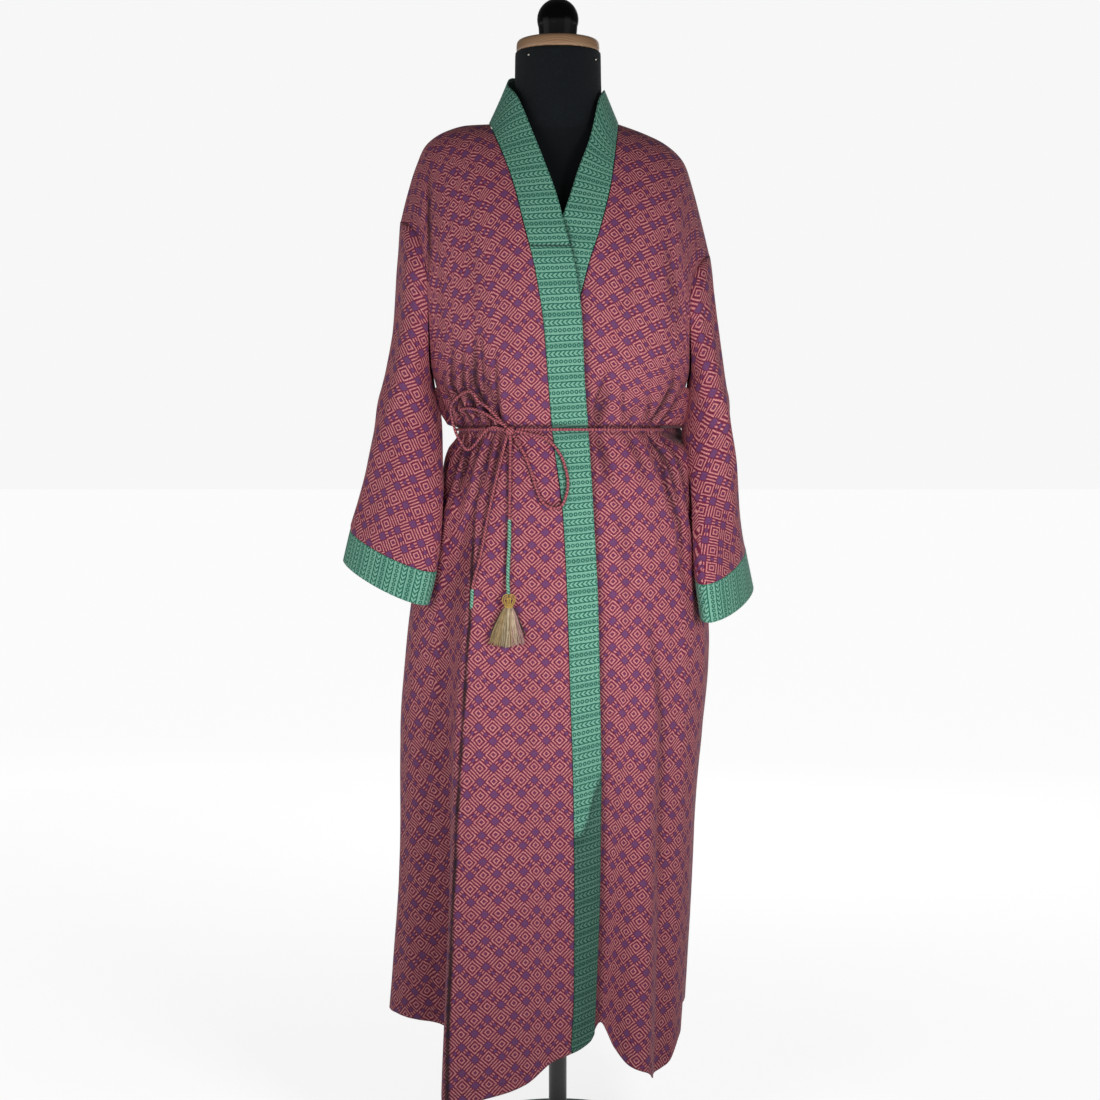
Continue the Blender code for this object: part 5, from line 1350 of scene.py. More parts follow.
class PrintedCotton(Finish):
    """What the two printed cloths share: a plain weave, uneven ink and a faint sheen."""

    thread_pitch = 0.0011
    shade_share = 0.93

    def mottle(self, graph: Graph, place: Value) -> Value:
        """The ink's fine unevenness on the threads."""
        return graph.noise(place, 900.0, 3.0, 0.7)

    def finish(self, graph: Graph, colour: Value, shade: Colour, mottle: Value, height: Value) -> None:
        """Shade the print in its folds and give the cloth its relief and sheen.

        Args:
            graph: the material's graph.
            colour: the print.
            shade: the colour deep in a fold.
            mottle: the ink's unevenness.
            height: the cloth's relief.
        """
        graph.bump(height, 0.3, 0.0005)
        # Painted shade: the print goes towards the shade colour as far as each point's painted shade says.
        colour = graph.cover(colour, graph.kept("painted_shade") * self.shade_share, shade)
        graph.set(Base_Color=colour, Roughness=mottle * 0.16 + 0.66, Sheen_Weight=0.08,
                  Sheen_Roughness=0.45, Specular_IOR_Level=0.25)


class RobePrint(PrintedCotton):
    """Nested coral diamonds and purple squares on maroon, softly printed on a plain weave.

    Lengths are in metres; the frames' places and the lines' half-width are shares of a cell.
    """

    name = "robe_print"
    across = 0.018
    along = 0.017
    half_line = 0.062
    soft = 0.03
    inner_frame = 0.235
    outer_frame = 0.545
    stripe = 0.85
    wander = 0.0016
    stitches_at = 0.014

    def draw(self, graph: Graph) -> None:
        """Draw the print, its weave and its faint fading."""
        place = graph.map()
        u, v, _ = graph.split(place)
        u = u + graph.drift(place, 170.0, self.wander)
        v = v + graph.drift(graph.join(v, u, 3.7), 170.0, self.wander)
        x, y = u / self.across, v / self.along
        column, row = x.rounded(), y.rounded()
        ax, ay = abs(x - column), abs(y - row)
        odd = (column + row) % 2.0
        even = 1.0 - odd
        near, cross = ax + ay, abs(ax - ay)
        p = even * near + odd * (1.0 - cross)
        q = even * cross + odd * (1.0 - near)
        inner, outer, stripe = (graph.inside(p, middle, self.half_line, self.soft)
                                for middle in (self.inner_frame, self.outer_frame, self.stripe))
        plain = 1.0 - y.floor() % 2.0
        stripes = stripe * graph.ramp(q, 0.6, 0.55) * (1.0 - plain * graph.ramp(q, 0.24, 0.2))
        small = graph.ramp(graph.highest(1.0 - p, q), 0.19, 0.15) * plain
        square = graph.ramp(near, 0.36, 0.31) * odd
        dot = graph.ramp(near, 0.11, 0.05) * even
        mottle = self.mottle(graph, place)
        ground = graph.tone(graph.noise(place, 240.0, 3.0, 0.6), 0.35, 0.7, (108, 22, 56), (134, 40, 76))
        purple = graph.tone(mottle, 0.36, 0.66, (92, 40, 90), (136, 84, 134))
        coral = graph.tone(mottle, 0.4, 0.64, (188, 68, 92), (255, 198, 188))
        colour = graph.mix(graph.highest(square, small, dot * 0.7), ground, purple)
        colour = graph.mix(graph.highest(inner, outer, stripes), colour, coral)
        stitch = graph.inside(graph.kept("hem"), self.stitches_at, 0.0006, 0.0005)
        colour = graph.cover(colour, stitch * 0.35, (70, 22, 40))
        height = weave(graph, u, v, self.thread_pitch) * 0.3 + mottle * 0.7 - stitch * 1.6
        # (26, 4, 12) is the colour of the shade painted in folds and under the cords.
        self.finish(graph, colour, (26, 4, 12), mottle, height)


class BandPrint(PrintedCotton):
    """Rows of mint arrowheads and rings between fine lines on deep green, across the strip.

    Lengths are in metres; slope says how far an arrowhead leans for each metre from its row's middle.
    """

    name = "band_print"
    pitch = 0.006
    period = 0.0204
    slope = 1.15
    ring_radius = 0.0019
    line_at = 0.0044
    join_at = 0.0033

    def draw(self, graph: Graph) -> None:
        """Draw the rows, their fine lines and the weave."""
        place = graph.map()
        u, v, _ = graph.split(place)
        v = v + graph.drift(place, 90.0, 0.0018)
        away = abs(v - (v / self.period).rounded() * self.period)
        arrow_x = (u + away * self.slope) / self.pitch
        arrow = graph.ramp(abs(arrow_x - arrow_x.rounded()), 0.33, 0.25) * graph.ramp(away, 0.0034, 0.0029)
        other = (v / self.period).floor() % 2.0
        ring_away = self.period / 2 - away
        ring_x = u / self.pitch
        ring_u = (ring_x - ring_x.rounded()) * self.pitch
        radius = (ring_u * ring_u + ring_away * ring_away).root()
        ring = graph.inside(radius, self.ring_radius, 0.0008, 0.0002)
        paper = graph.ramp(ring_away, 0.0034, 0.003) * (1.0 - ring * 1.05) * (0.92 - other * 0.22)
        line = graph.inside(ring_away, self.line_at, 0.0009, 0.00025)
        join = graph.inside(ring_away, self.join_at, 0.0005, 0.0003) * (0.85 - other * 0.6)
        mottle = self.mottle(graph, place)
        deep = graph.tone(graph.noise(place, 300.0, 2.0), 0.35, 0.7, (24, 96, 80), (48, 122, 102))
        mint = graph.tone(mottle, 0.38, 0.68, (122, 182, 158), (154, 212, 188))
        colour = graph.mix(graph.highest(arrow, paper, line, join) * 0.94, deep, mint)
        height = weave(graph, u, v, self.thread_pitch) * 0.3 + mottle * 0.7
        # (4, 30, 25) is the colour of the shade painted in the band's folds, at its foot and at its joint.
        self.finish(graph, colour, (4, 30, 25), mottle, height)


class RolledCloth(Finish):
    """A printed strip rolled into a thin cord, its light and dark patches winding round it."""

    bar_pitch = 0.0042
    cross_pitch = 0.0057

    def __init__(self, name: str, dark: Colour, light: Colour, third: Colour) -> None:
        """Keep the cloth's three colours."""
        super().__init__()
        self.name, self.dark, self.light, self.third = name, dark, light, third

    def draw(self, graph: Graph) -> None:
        """Draw the winding patches, the shade painted on the cord's side towards the cloth, and the cloth's
        weave.
        """
        place = graph.map()
        u, v, _ = graph.split(place)
        bars = graph.wave(v + u * 0.8 + graph.drift(place, 260.0, 0.003), self.bar_pitch)
        cross = graph.wave(v - u * 1.1, self.cross_pitch)
        fine = graph.noise(place, 1500.0, 2.0)
        colour = graph.tone(bars + cross * 0.6, -0.35, 0.25, self.dark, self.light)
        patches = graph.ramp(graph.noise(place, 130.0, 2.0), 0.52, 0.66)
        colour = graph.cover(colour, patches * 0.6, self.third)
        # Painted shade on the cord's side towards the cloth, near-black maroon.
        colour = graph.cover(colour, graph.kept("painted_shade") * 0.85, (20, 5, 11))
        graph.bump(fine * 0.6 + weave(graph, u, v, 0.0009) * 0.3, 0.4, 0.0005)
        graph.set(Base_Color=colour, Roughness=fine * 0.2 + 0.6, Sheen_Weight=0.1, Sheen_Roughness=0.4)


class GoldCord(Finish):
    """Bright twisted gold cord."""

    name = "gold_cord"
    ply_pitch = 0.0011

    def draw(self, graph: Graph) -> None:
        """Draw the ply's winding lines."""
        place = graph.map()
        u, v, _ = graph.split(place)
        ply = graph.wave(v + u * 0.9, self.ply_pitch)
        fine = graph.noise(place, 2500.0, 2.0)
        graph.bump(ply * 0.5 + fine * 0.3, 0.5, 0.0003)
        graph.set(Base_Color=graph.tone(ply, -0.8, 0.9, (150, 104, 34), (228, 192, 84)),
                  Roughness=fine * 0.2 + 0.34, Sheen_Weight=0.3, Anisotropic=0.3)


@dataclass(frozen=True)
class Thread:
    """One of the tassel's thread colours."""

    name: str
    dark: Colour
    light: Colour


# The tassel's thread colours; the last, near-black one is painted shade, put between and behind the threads.
THREADS = (
    Thread("thread_gold", (138, 112, 72), (200, 174, 126)),
    Thread("thread_olive", (116, 100, 68), (182, 160, 116)),
    Thread("thread_cream", (176, 152, 120), (242, 226, 196)),
    Thread("thread_beige", (150, 120, 92), (222, 196, 162)),
    Thread("thread_mauve", (140, 96, 94), (206, 164, 156)),
    Thread("thread_painted_shade", (34, 22, 16), (66, 46, 32)),
)


class ThreadFinish(Finish):
    """Soft satin thread, with shade painted darker towards its root."""

    root_length = 0.016

    def __init__(self, thread: Thread) -> None:
        """Keep the thread's colours."""
        super().__init__()
        self.thread = thread
        self.name = thread.name

    def draw(self, graph: Graph) -> None:
        """Draw the streaks along the thread."""
        u, v, _ = graph.split(graph.map())
        streak = graph.noise(graph.join(u * 60.0, v * 4.0), 40.0, 3.0, 0.6)
        root = graph.ramp(v, 0.0, self.root_length)
        colour = graph.tone(streak, 0.36, 0.62, self.thread.dark, self.thread.light)
        # Painted shade: the thread darker towards its root, under the crown.
        colour = graph.cover(colour, 0.45 - root * 0.45, self.thread.dark)
        graph.bump(streak, 0.4, 0.0002)
        graph.set(Base_Color=colour, Roughness=streak * 0.25 + 0.38, Sheen_Weight=0.3,
                  Sheen_Roughness=0.3, Anisotropic=0.4)


class FormCloth(Finish):
    """Matt near-black jersey stretched over the form, with its fine knit ribs."""

    name = "form_cloth"
    rib_pitch = 0.0014
    row_pitch = 0.0018
    neck_foot_z = 1.4015

    def draw(self, graph: Graph) -> None:
        """Draw the knit, a faint bloom of lint, and the cloth darker below a curved line at the neck's foot."""
        u, v, _ = graph.split(graph.map())
        place = graph.object_place()
        lint = graph.noise(place, 260.0, 3.0, 0.7)
        colour = graph.tone(lint, 0.45, 0.75, (11, 16, 20), (24, 31, 36))
        cloud = graph.ramp(graph.noise(place, 12.0, 2.0), 0.4, 0.7)
        colour = graph.cover(colour, cloud * 0.4, (18, 24, 29))
        x, _, z = graph.split(place)
        edge = z - (x * x * 5.0 + self.neck_foot_z)
        colour = graph.cover(colour, graph.ramp(edge, 0.001, -0.001) * 0.6, (5, 9, 12))
        rib, row = graph.wave(u, self.rib_pitch), graph.wave(v, self.row_pitch)
        graph.bump(rib * 0.5 + (row * 0.35 + lint * 0.5), 0.3, 0.0004)
        graph.set(Base_Color=colour, Roughness=lint * 0.15 + 0.78, Sheen_Weight=0.05,
                  Sheen_Roughness=0.5, Specular_IOR_Level=0.18)


class CapWood(Finish):
    """Pale turned wood under a thin satin lacquer."""

    name = "cap_wood"
    ring_pitch = 0.0052

    def draw(self, graph: Graph) -> None:
        """Draw straight grain that bends round the turning, and fine pores."""
        place = graph.object_place()
        x, y, z = graph.split(place)
        grain_at = y + (z * 1.6 + graph.noise(place, 14.0, 3.0, 0.5) * 0.014)
        bands = graph.wave(grain_at, self.ring_pitch)
        pores = graph.noise(graph.join(x * 60.0, grain_at * 900.0, z), 1.4, 3.0, 0.6)
        colour = graph.tone(bands, -1.0, 1.0, (182, 144, 108), (160, 118, 82))
        colour = graph.cover(colour, graph.ramp(pores, 0.56, 0.72) * 0.45, (138, 96, 62))
        graph.bump(bands * 0.2 + pores * 0.6, 0.15, 0.0004)
        graph.set(Base_Color=colour, Roughness=pores * 0.2 + 0.34, Coat_Weight=0.25, Coat_Roughness=0.22)


class BallGloss(Finish):
    """Gloss black lacquer with faint handling marks."""

    name = "finial_gloss"

    def draw(self, graph: Graph) -> None:
        """Draw the marks in the gloss."""
        place = graph.object_place()
        marks = graph.noise(place, 60.0, 4.0, 0.6)
        fine = graph.noise(place, 420.0, 2.0)
        graph.bump(fine, 0.03, 0.0002)
        graph.set(Base_Color=graph.tone(fine, 0.3, 0.8, (3, 4, 5), (9, 10, 12)),
                  Roughness=marks * 0.12 + 0.12, Specular_IOR_Level=0.1)


class StandPaint(Finish):
    """Satin black paint with a slight orange-peel and rubbed edges."""

    name = "stand_paint"

    def draw(self, graph: Graph) -> None:
        """Draw the paint's texture."""
        place = graph.object_place()
        scuffs = graph.noise(place, 38.0, 5.0, 0.7)
        graph.bump(graph.noise(place, 420.0, 3.0, 0.5), 0.12, 0.0004)
        graph.set(Base_Color=graph.tone(scuffs, 0.45, 0.75, (16, 17, 19), (40, 41, 43)),
                  Roughness=scuffs * 0.25 + 0.25, Metallic=0.0, Coat_Weight=0.2, Coat_Roughness=0.3)


class PinMetal(Finish):
    """A small bright nickel pin head."""

    name = "pin_metal"

    def draw(self, graph: Graph) -> None:
        """Draw fine polishing marks."""
        marks = graph.noise(graph.object_place(), 1800.0, 2.0)
        graph.bump(marks, 0.1, 0.0001)
        graph.set(Base_Color=graph.tone(marks, 0.3, 0.7, (196, 188, 172), (226, 220, 208)),
                  Roughness=marks * 0.2 + 0.18, Metallic=1.0)


class FloorPaper(Finish):
    """The studio's pale paper."""

    name = "floor_paper"

    def draw(self, graph: Graph) -> None:
        """Draw the paper's faint tooth, and a glow that grows away from the stand."""
        place = graph.object_place()
        colour = graph.mix(graph.noise(place, 90.0, 3.0), linear(205, 205, 205), linear(212, 212, 212))
        x, y, _ = graph.split(place)
        glow = graph.ramp((x * x + y * y).root(), 0.6, 3.2) * 0.16 + 0.72
        graph.set(Base_Color=colour, Roughness=0.9, Emission_Color=(1.0, 1.0, 1.0, 1.0), Emission_Strength=glow)


# How steeply the band's rows rise to the wearer's left, in degrees, on the right strip and the left one
ROW_LEAN = Table("z right left", (
    (0.2, 12.0, -12.0), (0.52, 13.0, -12.0), (0.75, 8.0, -14.0), (1.0, 4.0, -18.0), (1.18, 3.0, -21.0),
    (1.25, 2.0, -20.0), (1.32, 4.0, -20.0), (1.36, 8.0, -22.0), (1.4, 20.0, -27.0), (1.44, 44.0, -38.0),
))

# The soft slanting fold at the band's foot: x and z along it, the band being in shade below it
FOOT_LINE = ((0.0287, 0.4755), (0.0379, 0.497), (0.0419, 0.519), (0.0458, 0.532), (0.0563, 0.556))

# The cloth just above and beside each run of cord, which lies in its shade
CASTS = tuple(Crease(tuple((x - 0.0028, z + 0.0026) for x, z, _ in route), 0.0026, -0.62)
              for route in (LOOP_RIGHT, STRAND, LOOP_LEFT, END_LONG, TIP_LONG, END_SHORT))


@dataclass
class Garment:
    """The robe: three panels, two sleeves with cuffs, and the green band in three pieces.

    The insets are shares left free at a panel's seams. The print's rows fall by chest_fall over
    fall_reach, counted from the band, which is 2 x band_half wide about chest_middle.
    """

    robe: Robe
    print_cloth: RobePrint
    band_cloth: BandPrint
    seam_inset: float = 0.0008
    side_inset: float = 0.0004
    joint_right_z: float = 1.24
    joint_left_z: float = 1.17
    chest_middle: float = -0.004
    band_half: float = 0.035
    chest_fall: float = 0.05
    fall_reach: float = 0.13
    hem_z: float = 0.17

    def steps(self, count: int) -> int:
        return max(8, round(count * (1.0)))

    def rows(self) -> Array:
        """Runs up a panel, closer at the belt and towards the ridge."""
        places = [0.0, 0.02, 0.5, 0.88, 0.96, 1.0, 1.2, 2.0, 2.8, 2.95, 3.0]
        steps = [0.004, 0.0062, 0.0055, 0.0035, 0.0025, 0.022, 0.06, 0.0155, 0.01, 0.005]
        scale = 1.0
        filled = [0.0]
        for low, high, step in zip(places, places[1:], steps):
            parts = max(1, math.ceil((high - low) / (step * scale)))
            filled.extend(low + (high - low) * (k + 1) / parts for k in range(parts))
        return np.array(filled)

    def grain(self, side: Side) -> Callable[[Array, Sheet], tuple[Array, Array]]:
        """How a front's print hangs: its columns upright from the seam, its rows falling away from the band."""
        def skew(grid: Array, sheet: Sheet) -> tuple[Array, Array]:
            along = sheet.along
            chest = np.clip(along - 2.0, 0.0, 1.0)
            waist = BELT_Z + (np.minimum(along, 2.0) - 1.0) * (UNDERARM_Z - BELT_Z)
            skirt = self.hem_z + (BELT_Z - self.hem_z) * np.clip(along, 0.0, 1.0)
            chest_z = UNDERARM_Z + chest * (NECK_SIDE_Z - UNDERARM_Z)
            z = np.where(along <= 1.0, skirt, np.where(along <= 2.0, waist, chest_z))
            seam = side.value * EDGES.at("seam_" + side.word, z)[None, :] + 0.0 * sheet.across[:, None]
            out = side.value * (grid[..., 0] - self.chest_middle) - self.band_half
            share = np.clip(out, 0.0, self.fall_reach) / self.fall_reach
            rise = fade(grid[..., 2], BELT_Z, BELT_Z + 0.1) + 0.45 * fade(grid[..., 2], 0.8, 0.45)
            return seam, rise * self.chest_fall * (0.3 * share + 0.7 * share * share)
        return skew

    def strip_lean(self, grid: Array, sheet: Sheet) -> tuple[Array, Array]:
        """How a strip's rows rise to the wearer's left, by height, and not at all behind the neck."""
        middle = grid[len(grid) // 2][None, ...]
        tilt = ROW_LEAN.at("right", middle[..., 2])
        if sheet.node == "band_neck":
            tilt = np.where(sheet.along[None, :] < 1.5, tilt, ROW_LEAN.at("left", middle[..., 2]))
        slope = np.radians(tilt)
        away = grid - middle
        rise = away[..., 2] * np.cos(slope) - away[..., 0] * np.sin(slope)
        return 0.0 * rise, rise * fade(-middle[..., 1], 0.0, 0.035)

    def fold_painted_shade(self, side: Optional[Side]) -> Callable[[Array, Sheet], Array]:
        """The shade painted on each point of a panel or of its band, in its folds, under its cords and beside the
        lap.
        """
        def painted_shade(grid: Array, sheet: Sheet) -> Array:
            x, z = grid[..., 0], grid[..., 2]
            s = sheet.across[:, None] + 0.0 * x
            if side is None:
                angle = 180.0 - 90.0 * s
            else:
                angle = self.robe.front_angle(side, s, np.minimum(z, UNDERARM_Z))
            deep = self.robe.painted_shade(side, angle, x, z)
            # Painted shade on the right band: below the slanting fold at its foot, where it turns from the light,
            # and a line at its joint.
            if sheet.node == "band_right":
                drop = np.interp(x, *zip(*FOOT_LINE)) - z
                turned = 0.6 * fade(drop, -0.003, 0.012) + 0.16 * bell(drop - 0.01, 0.01)
                deep = np.maximum(deep, turned)
                deep = np.maximum(deep, 0.75 * bell(z - self.joint_right_z, 0.001))
            return deep
        return painted_shade

    def neck_painted_shade(self, grid: Array, sheet: Sheet) -> Array:
        """The shade painted on each point of the neck band: a line at its joint, and beside the lap over it."""
        x, z = grid[..., 0], grid[..., 2]
        run = sheet.along[None, :] + 0.0 * x
        joint = 0.75 * bell(z - self.joint_right_z, 0.0014) * (run < 1.0)
        past = x - EDGES.at("free_right", z)
        lapped = 0.55 * bell(past, 0.005) * (run > 2.0) * (1.0 - fade(z, 1.265, 1.285))
        return np.maximum(joint, lapped)

    def sheet(self, made: Sheet, finish: Finish, slot: Slot) -> None:
        item = stand_for(finish.on(made.make()), made.node)
        cloth = sum(polygon.area for polygon in item.data.polygons) / 2
        LOG.info("%s: %d faces, %.3f m2 of cloth", item.name, len(item.data.polygons), cloth)

    def fronts(self) -> None:
        """The two front panels."""
        for side, width in ((Side.RIGHT, 0.36), (Side.LEFT, 0.33)):
            across = np.linspace(self.seam_inset, 1.0 - self.side_inset, self.steps(132))
            if side is Side.RIGHT:
                steps = (0.0006, 0.002, 0.0042, 0.0075, 0.012)
                close = [FOLD_SHARE + way * step for way in (-1, 1) for step in steps]
                across = across[np.abs(across - FOLD_SHARE) > 0.015]
                across = np.sort(np.concatenate([across, close]))
            self.sheet(Sheet("panel_front_" + side.word, "front_" + side.word, self.robe.front(side), across,
                             self.rows(), CLOTH_WALL, (width, 1.36), skew=self.grain(side), datum=1.0,
                             painted_shade=self.fold_painted_shade(side)), self.print_cloth, Slot.ROBE)

    def rear(self) -> None:
        """The back panel."""
        across = np.linspace(-1.0 + self.side_inset, 1.0 - self.side_inset, self.steps(236))
        self.sheet(Sheet("panel_back", "back", self.robe.back(), across, self.rows(), CLOTH_WALL,
                         (0.7, 1.3), datum=1.0, shift=(0.009, 0.004), painted_shade=self.fold_painted_shade(None)),
                   self.print_cloth, Slot.ROBE)

    def bands(self) -> None:
        """The bands down the two fronts and the band round the neck."""
        for side, top_z in ((Side.RIGHT, self.joint_right_z), (Side.LEFT, self.joint_left_z)):
            top = 2.0 + (top_z - UNDERARM_Z) / (NECK_SIDE_Z - UNDERARM_Z) - 0.0004
            rows = np.array([run for run in self.rows() if run < top - 0.003] + [top])
            across = np.linspace(-1.0, -0.01, self.steps(20))
            self.sheet(Sheet("strip_front_" + side.word, "band_" + side.word, self.robe.front(side), across, rows,
                             BAND_WALL, (0.05, 1.06), skew=self.strip_lean, datum=1.0, straight_rows=True,
                             painted_shade=self.fold_painted_shade(side)), self.band_cloth, Slot.BAND)
        rows = dense([0.0, 0.5, 1.0, 1.25, 1.5, 1.75, 2.0, 2.5, 3.0], 0.011)
        across = np.linspace(0.0, 1.0, self.steps(20))
        self.sheet(Sheet("strip_neck", "band_neck", self.robe.neck(), across, rows, BAND_WALL,
                         (0.055, 0.76), skew=self.strip_lean, straight_rows=True,
                         painted_shade=self.neck_painted_shade), self.band_cloth, Slot.BAND)

    def sleeves(self) -> None:
        """The two sleeves and their cuffs."""
        for side, width, girth, axis in ((Side.RIGHT, 0.27, 0.29, (0.473, 0.0, 0.881)),
                                         (Side.LEFT, 0.24, 0.35, (-0.585, 0.0, 0.811))):
            word, surface = side.word, self.robe.sleeve(side)
            turns = np.linspace(0.0, 2 * math.pi, self.steps(104) + 1)
            rows = dense([-0.997, -0.985, -0.9, -0.5, -0.02], 0.018)
            rows = np.concatenate([rows, dense([0.0, 0.5, 0.9985], 0.0125)])
            self.sheet(Sheet("sleeve_cloth_" + word, "sleeve_" + word, surface, turns, rows, CLOTH_WALL,
                             (width, 0.5), joined=True, open_rows=int(np.argmax(rows >= 0.0)), axis=axis,
                             rests=("front_" + word,)), self.print_cloth, Slot.ROBE)
            rows = dense([1.0, 1.008, 1.142, 1.15], 0.008)
            self.sheet(Sheet("cuff_cloth_" + word, "cuff_" + word, surface, turns, rows, BAND_WALL,
                             (girth, 0.055), joined=True, turned_print=True, rests=("sleeve_" + word,)),
                       self.band_cloth, Slot.BAND)

    def make(self) -> None:
        """Make every sewn piece."""
        self.fronts()
        self.rear()
        self.bands()
        self.sleeves()


@dataclass
class Belt:
    """The cord belt: its round of the waist, its bow, its knot, its two ends and their green tips.

    The cord and the tips have a diameter each; groove is a share of the radius and winds so many
    turns to the metre, one groove for each ply.
    """

    robe: Robe
    cloth: RolledCloth
    tips: RolledCloth
    cord: float = 0.004
    tip: float = 0.0052
    step: float = 0.0022
    sides: int = 18
    plies: int = 2
    groove: float = 0.1
    turns: float = 42.0

    def laid(self, rows: Points) -> Points:
        """A route on the robe's front: each point stands off the cloth by its lift."""
        return [(x, self.robe.front_y(x, z) - lift, z) for x, z, lift in rows]

    def waist_line(self) -> Points:
        """The cord's route round the waist, from one side of the knot to the other."""
        knot = float(self.robe.ring_angle(np.asarray(KNOT_AT[0]), np.asarray(BELT_Z)))
        angles = np.linspace(knot + BELT_ENDS, knot + 360.0 - BELT_ENDS, 66)
        x, y, nx, ny = self.robe.ring_base(angle_side(angles), np.full_like(angles, BELT_Z))
        reach = BELT_LIFT + BELT_EASE * (np.cos(np.radians(angles)) > 0)
        return [(a + n * r, b + m * r, BELT_Z + BELT_RISE) for a, b, n, m, r in zip(x, y, nx, ny, reach)]

    def piece(self, name: str, node: str, points: Points,
              pieces: Sequence[Item] = ()) -> None:
        """Make one run of cord, or a green tip, that stands for its node.

        Args:
            name: the piece's name; a tip's starts with "tip".
            node: the CAD node that it replaces.
            points: its route.
            pieces: the pieces that go with it; not used.
        """
        finish, slot, size = self.cloth, Slot.BELT, self.cord
        if name.startswith("tip"):
            finish, slot, size = self.tips, Slot.BAND, self.tip
        line = smooth_line(points, self.step)
        item = tube(name, line, lambda share: size / 2, self.sides, self.groove, self.turns, self.plies)
        places = np.array([tuple(vertex.co) for vertex in item.data.vertices])
        out = places - np.repeat(line, self.sides, axis=0)
        out /= np.linalg.norm(out, axis=1, keepdims=True)
        inward = -places * (0.5, 1.0, 0.0)
        inward /= np.linalg.norm(inward, axis=1, keepdims=True)
        # Painted shade on the side of the cord that faces the cloth, 0 to 1.
        write_points(item.data, "painted_shade", fade((out * inward).sum(axis=1), -0.75, 0.15))
        stand_for(finish.on(item), node)

    def knot(self) -> Item:
        """The knot: a rounded lump with the cord's turns wrapped over it."""
        centre = Vector((KNOT_AT[0], self.robe.front_y(*KNOT_AT) - KNOT_LIFT, KNOT_AT[1]))
        deselect()
        bpy.ops.mesh.primitive_uv_sphere_add(segments=32, ring_count=20, radius=1.0, location=(0.0, 0.0, 0.0))
        item = bpy.context.object
        item.name = "knot_bow"
        for vertex in item.data.vertices:
            x, y, z = vertex.co
            wrap = 1.0 - 0.1 * (0.5 - 0.5 * math.cos(3.0 * math.atan2(z, x) + 5.0 * y + 1.0))
            vertex.co = Vector((x * KNOT_SIZE[0], y * KNOT_SIZE[1], z * KNOT_SIZE[2])) * wrap + centre
        layer = item.data.uv_layers[0]
        layer.name = "Cloth"
        for value in layer.data:
            value.uv = (value.uv[0] * 0.04, value.uv[1] * 0.018)
        item.data.shade_smooth()
        return stand_for(self.cloth.on(item), "belt_knot")

    def make(self, tassel: Sequence[Item]) -> None:
        """Make every run of the belt and its knot; the tassel's pieces are passed to the long tip."""
        self.piece("cord_waist", "belt_waist", self.waist_line(), (self.knot(),))
        for word, route, far_end in (("loop_right", LOOP_RIGHT, "knot"), ("loop_left", LOOP_LEFT, "knot"),
                                     ("strand", STRAND, "bare"), ("end_long", END_LONG, "bare")):
            self.piece("cord_" + word, "belt_" + word, self.laid(route))
        self.piece("tip_long", "belt_tip_long", self.laid(TIP_LONG), pieces=tassel)
        self.piece("cord_end_short", "belt_end_short", self.laid(END_SHORT))
        self.piece("tip_short", "belt_tip_short", self.laid(TIP_SHORT))


# The turn from one thread to the next, in radians, that spreads them evenly over a disc
GOLDEN_ANGLE = 2.399963


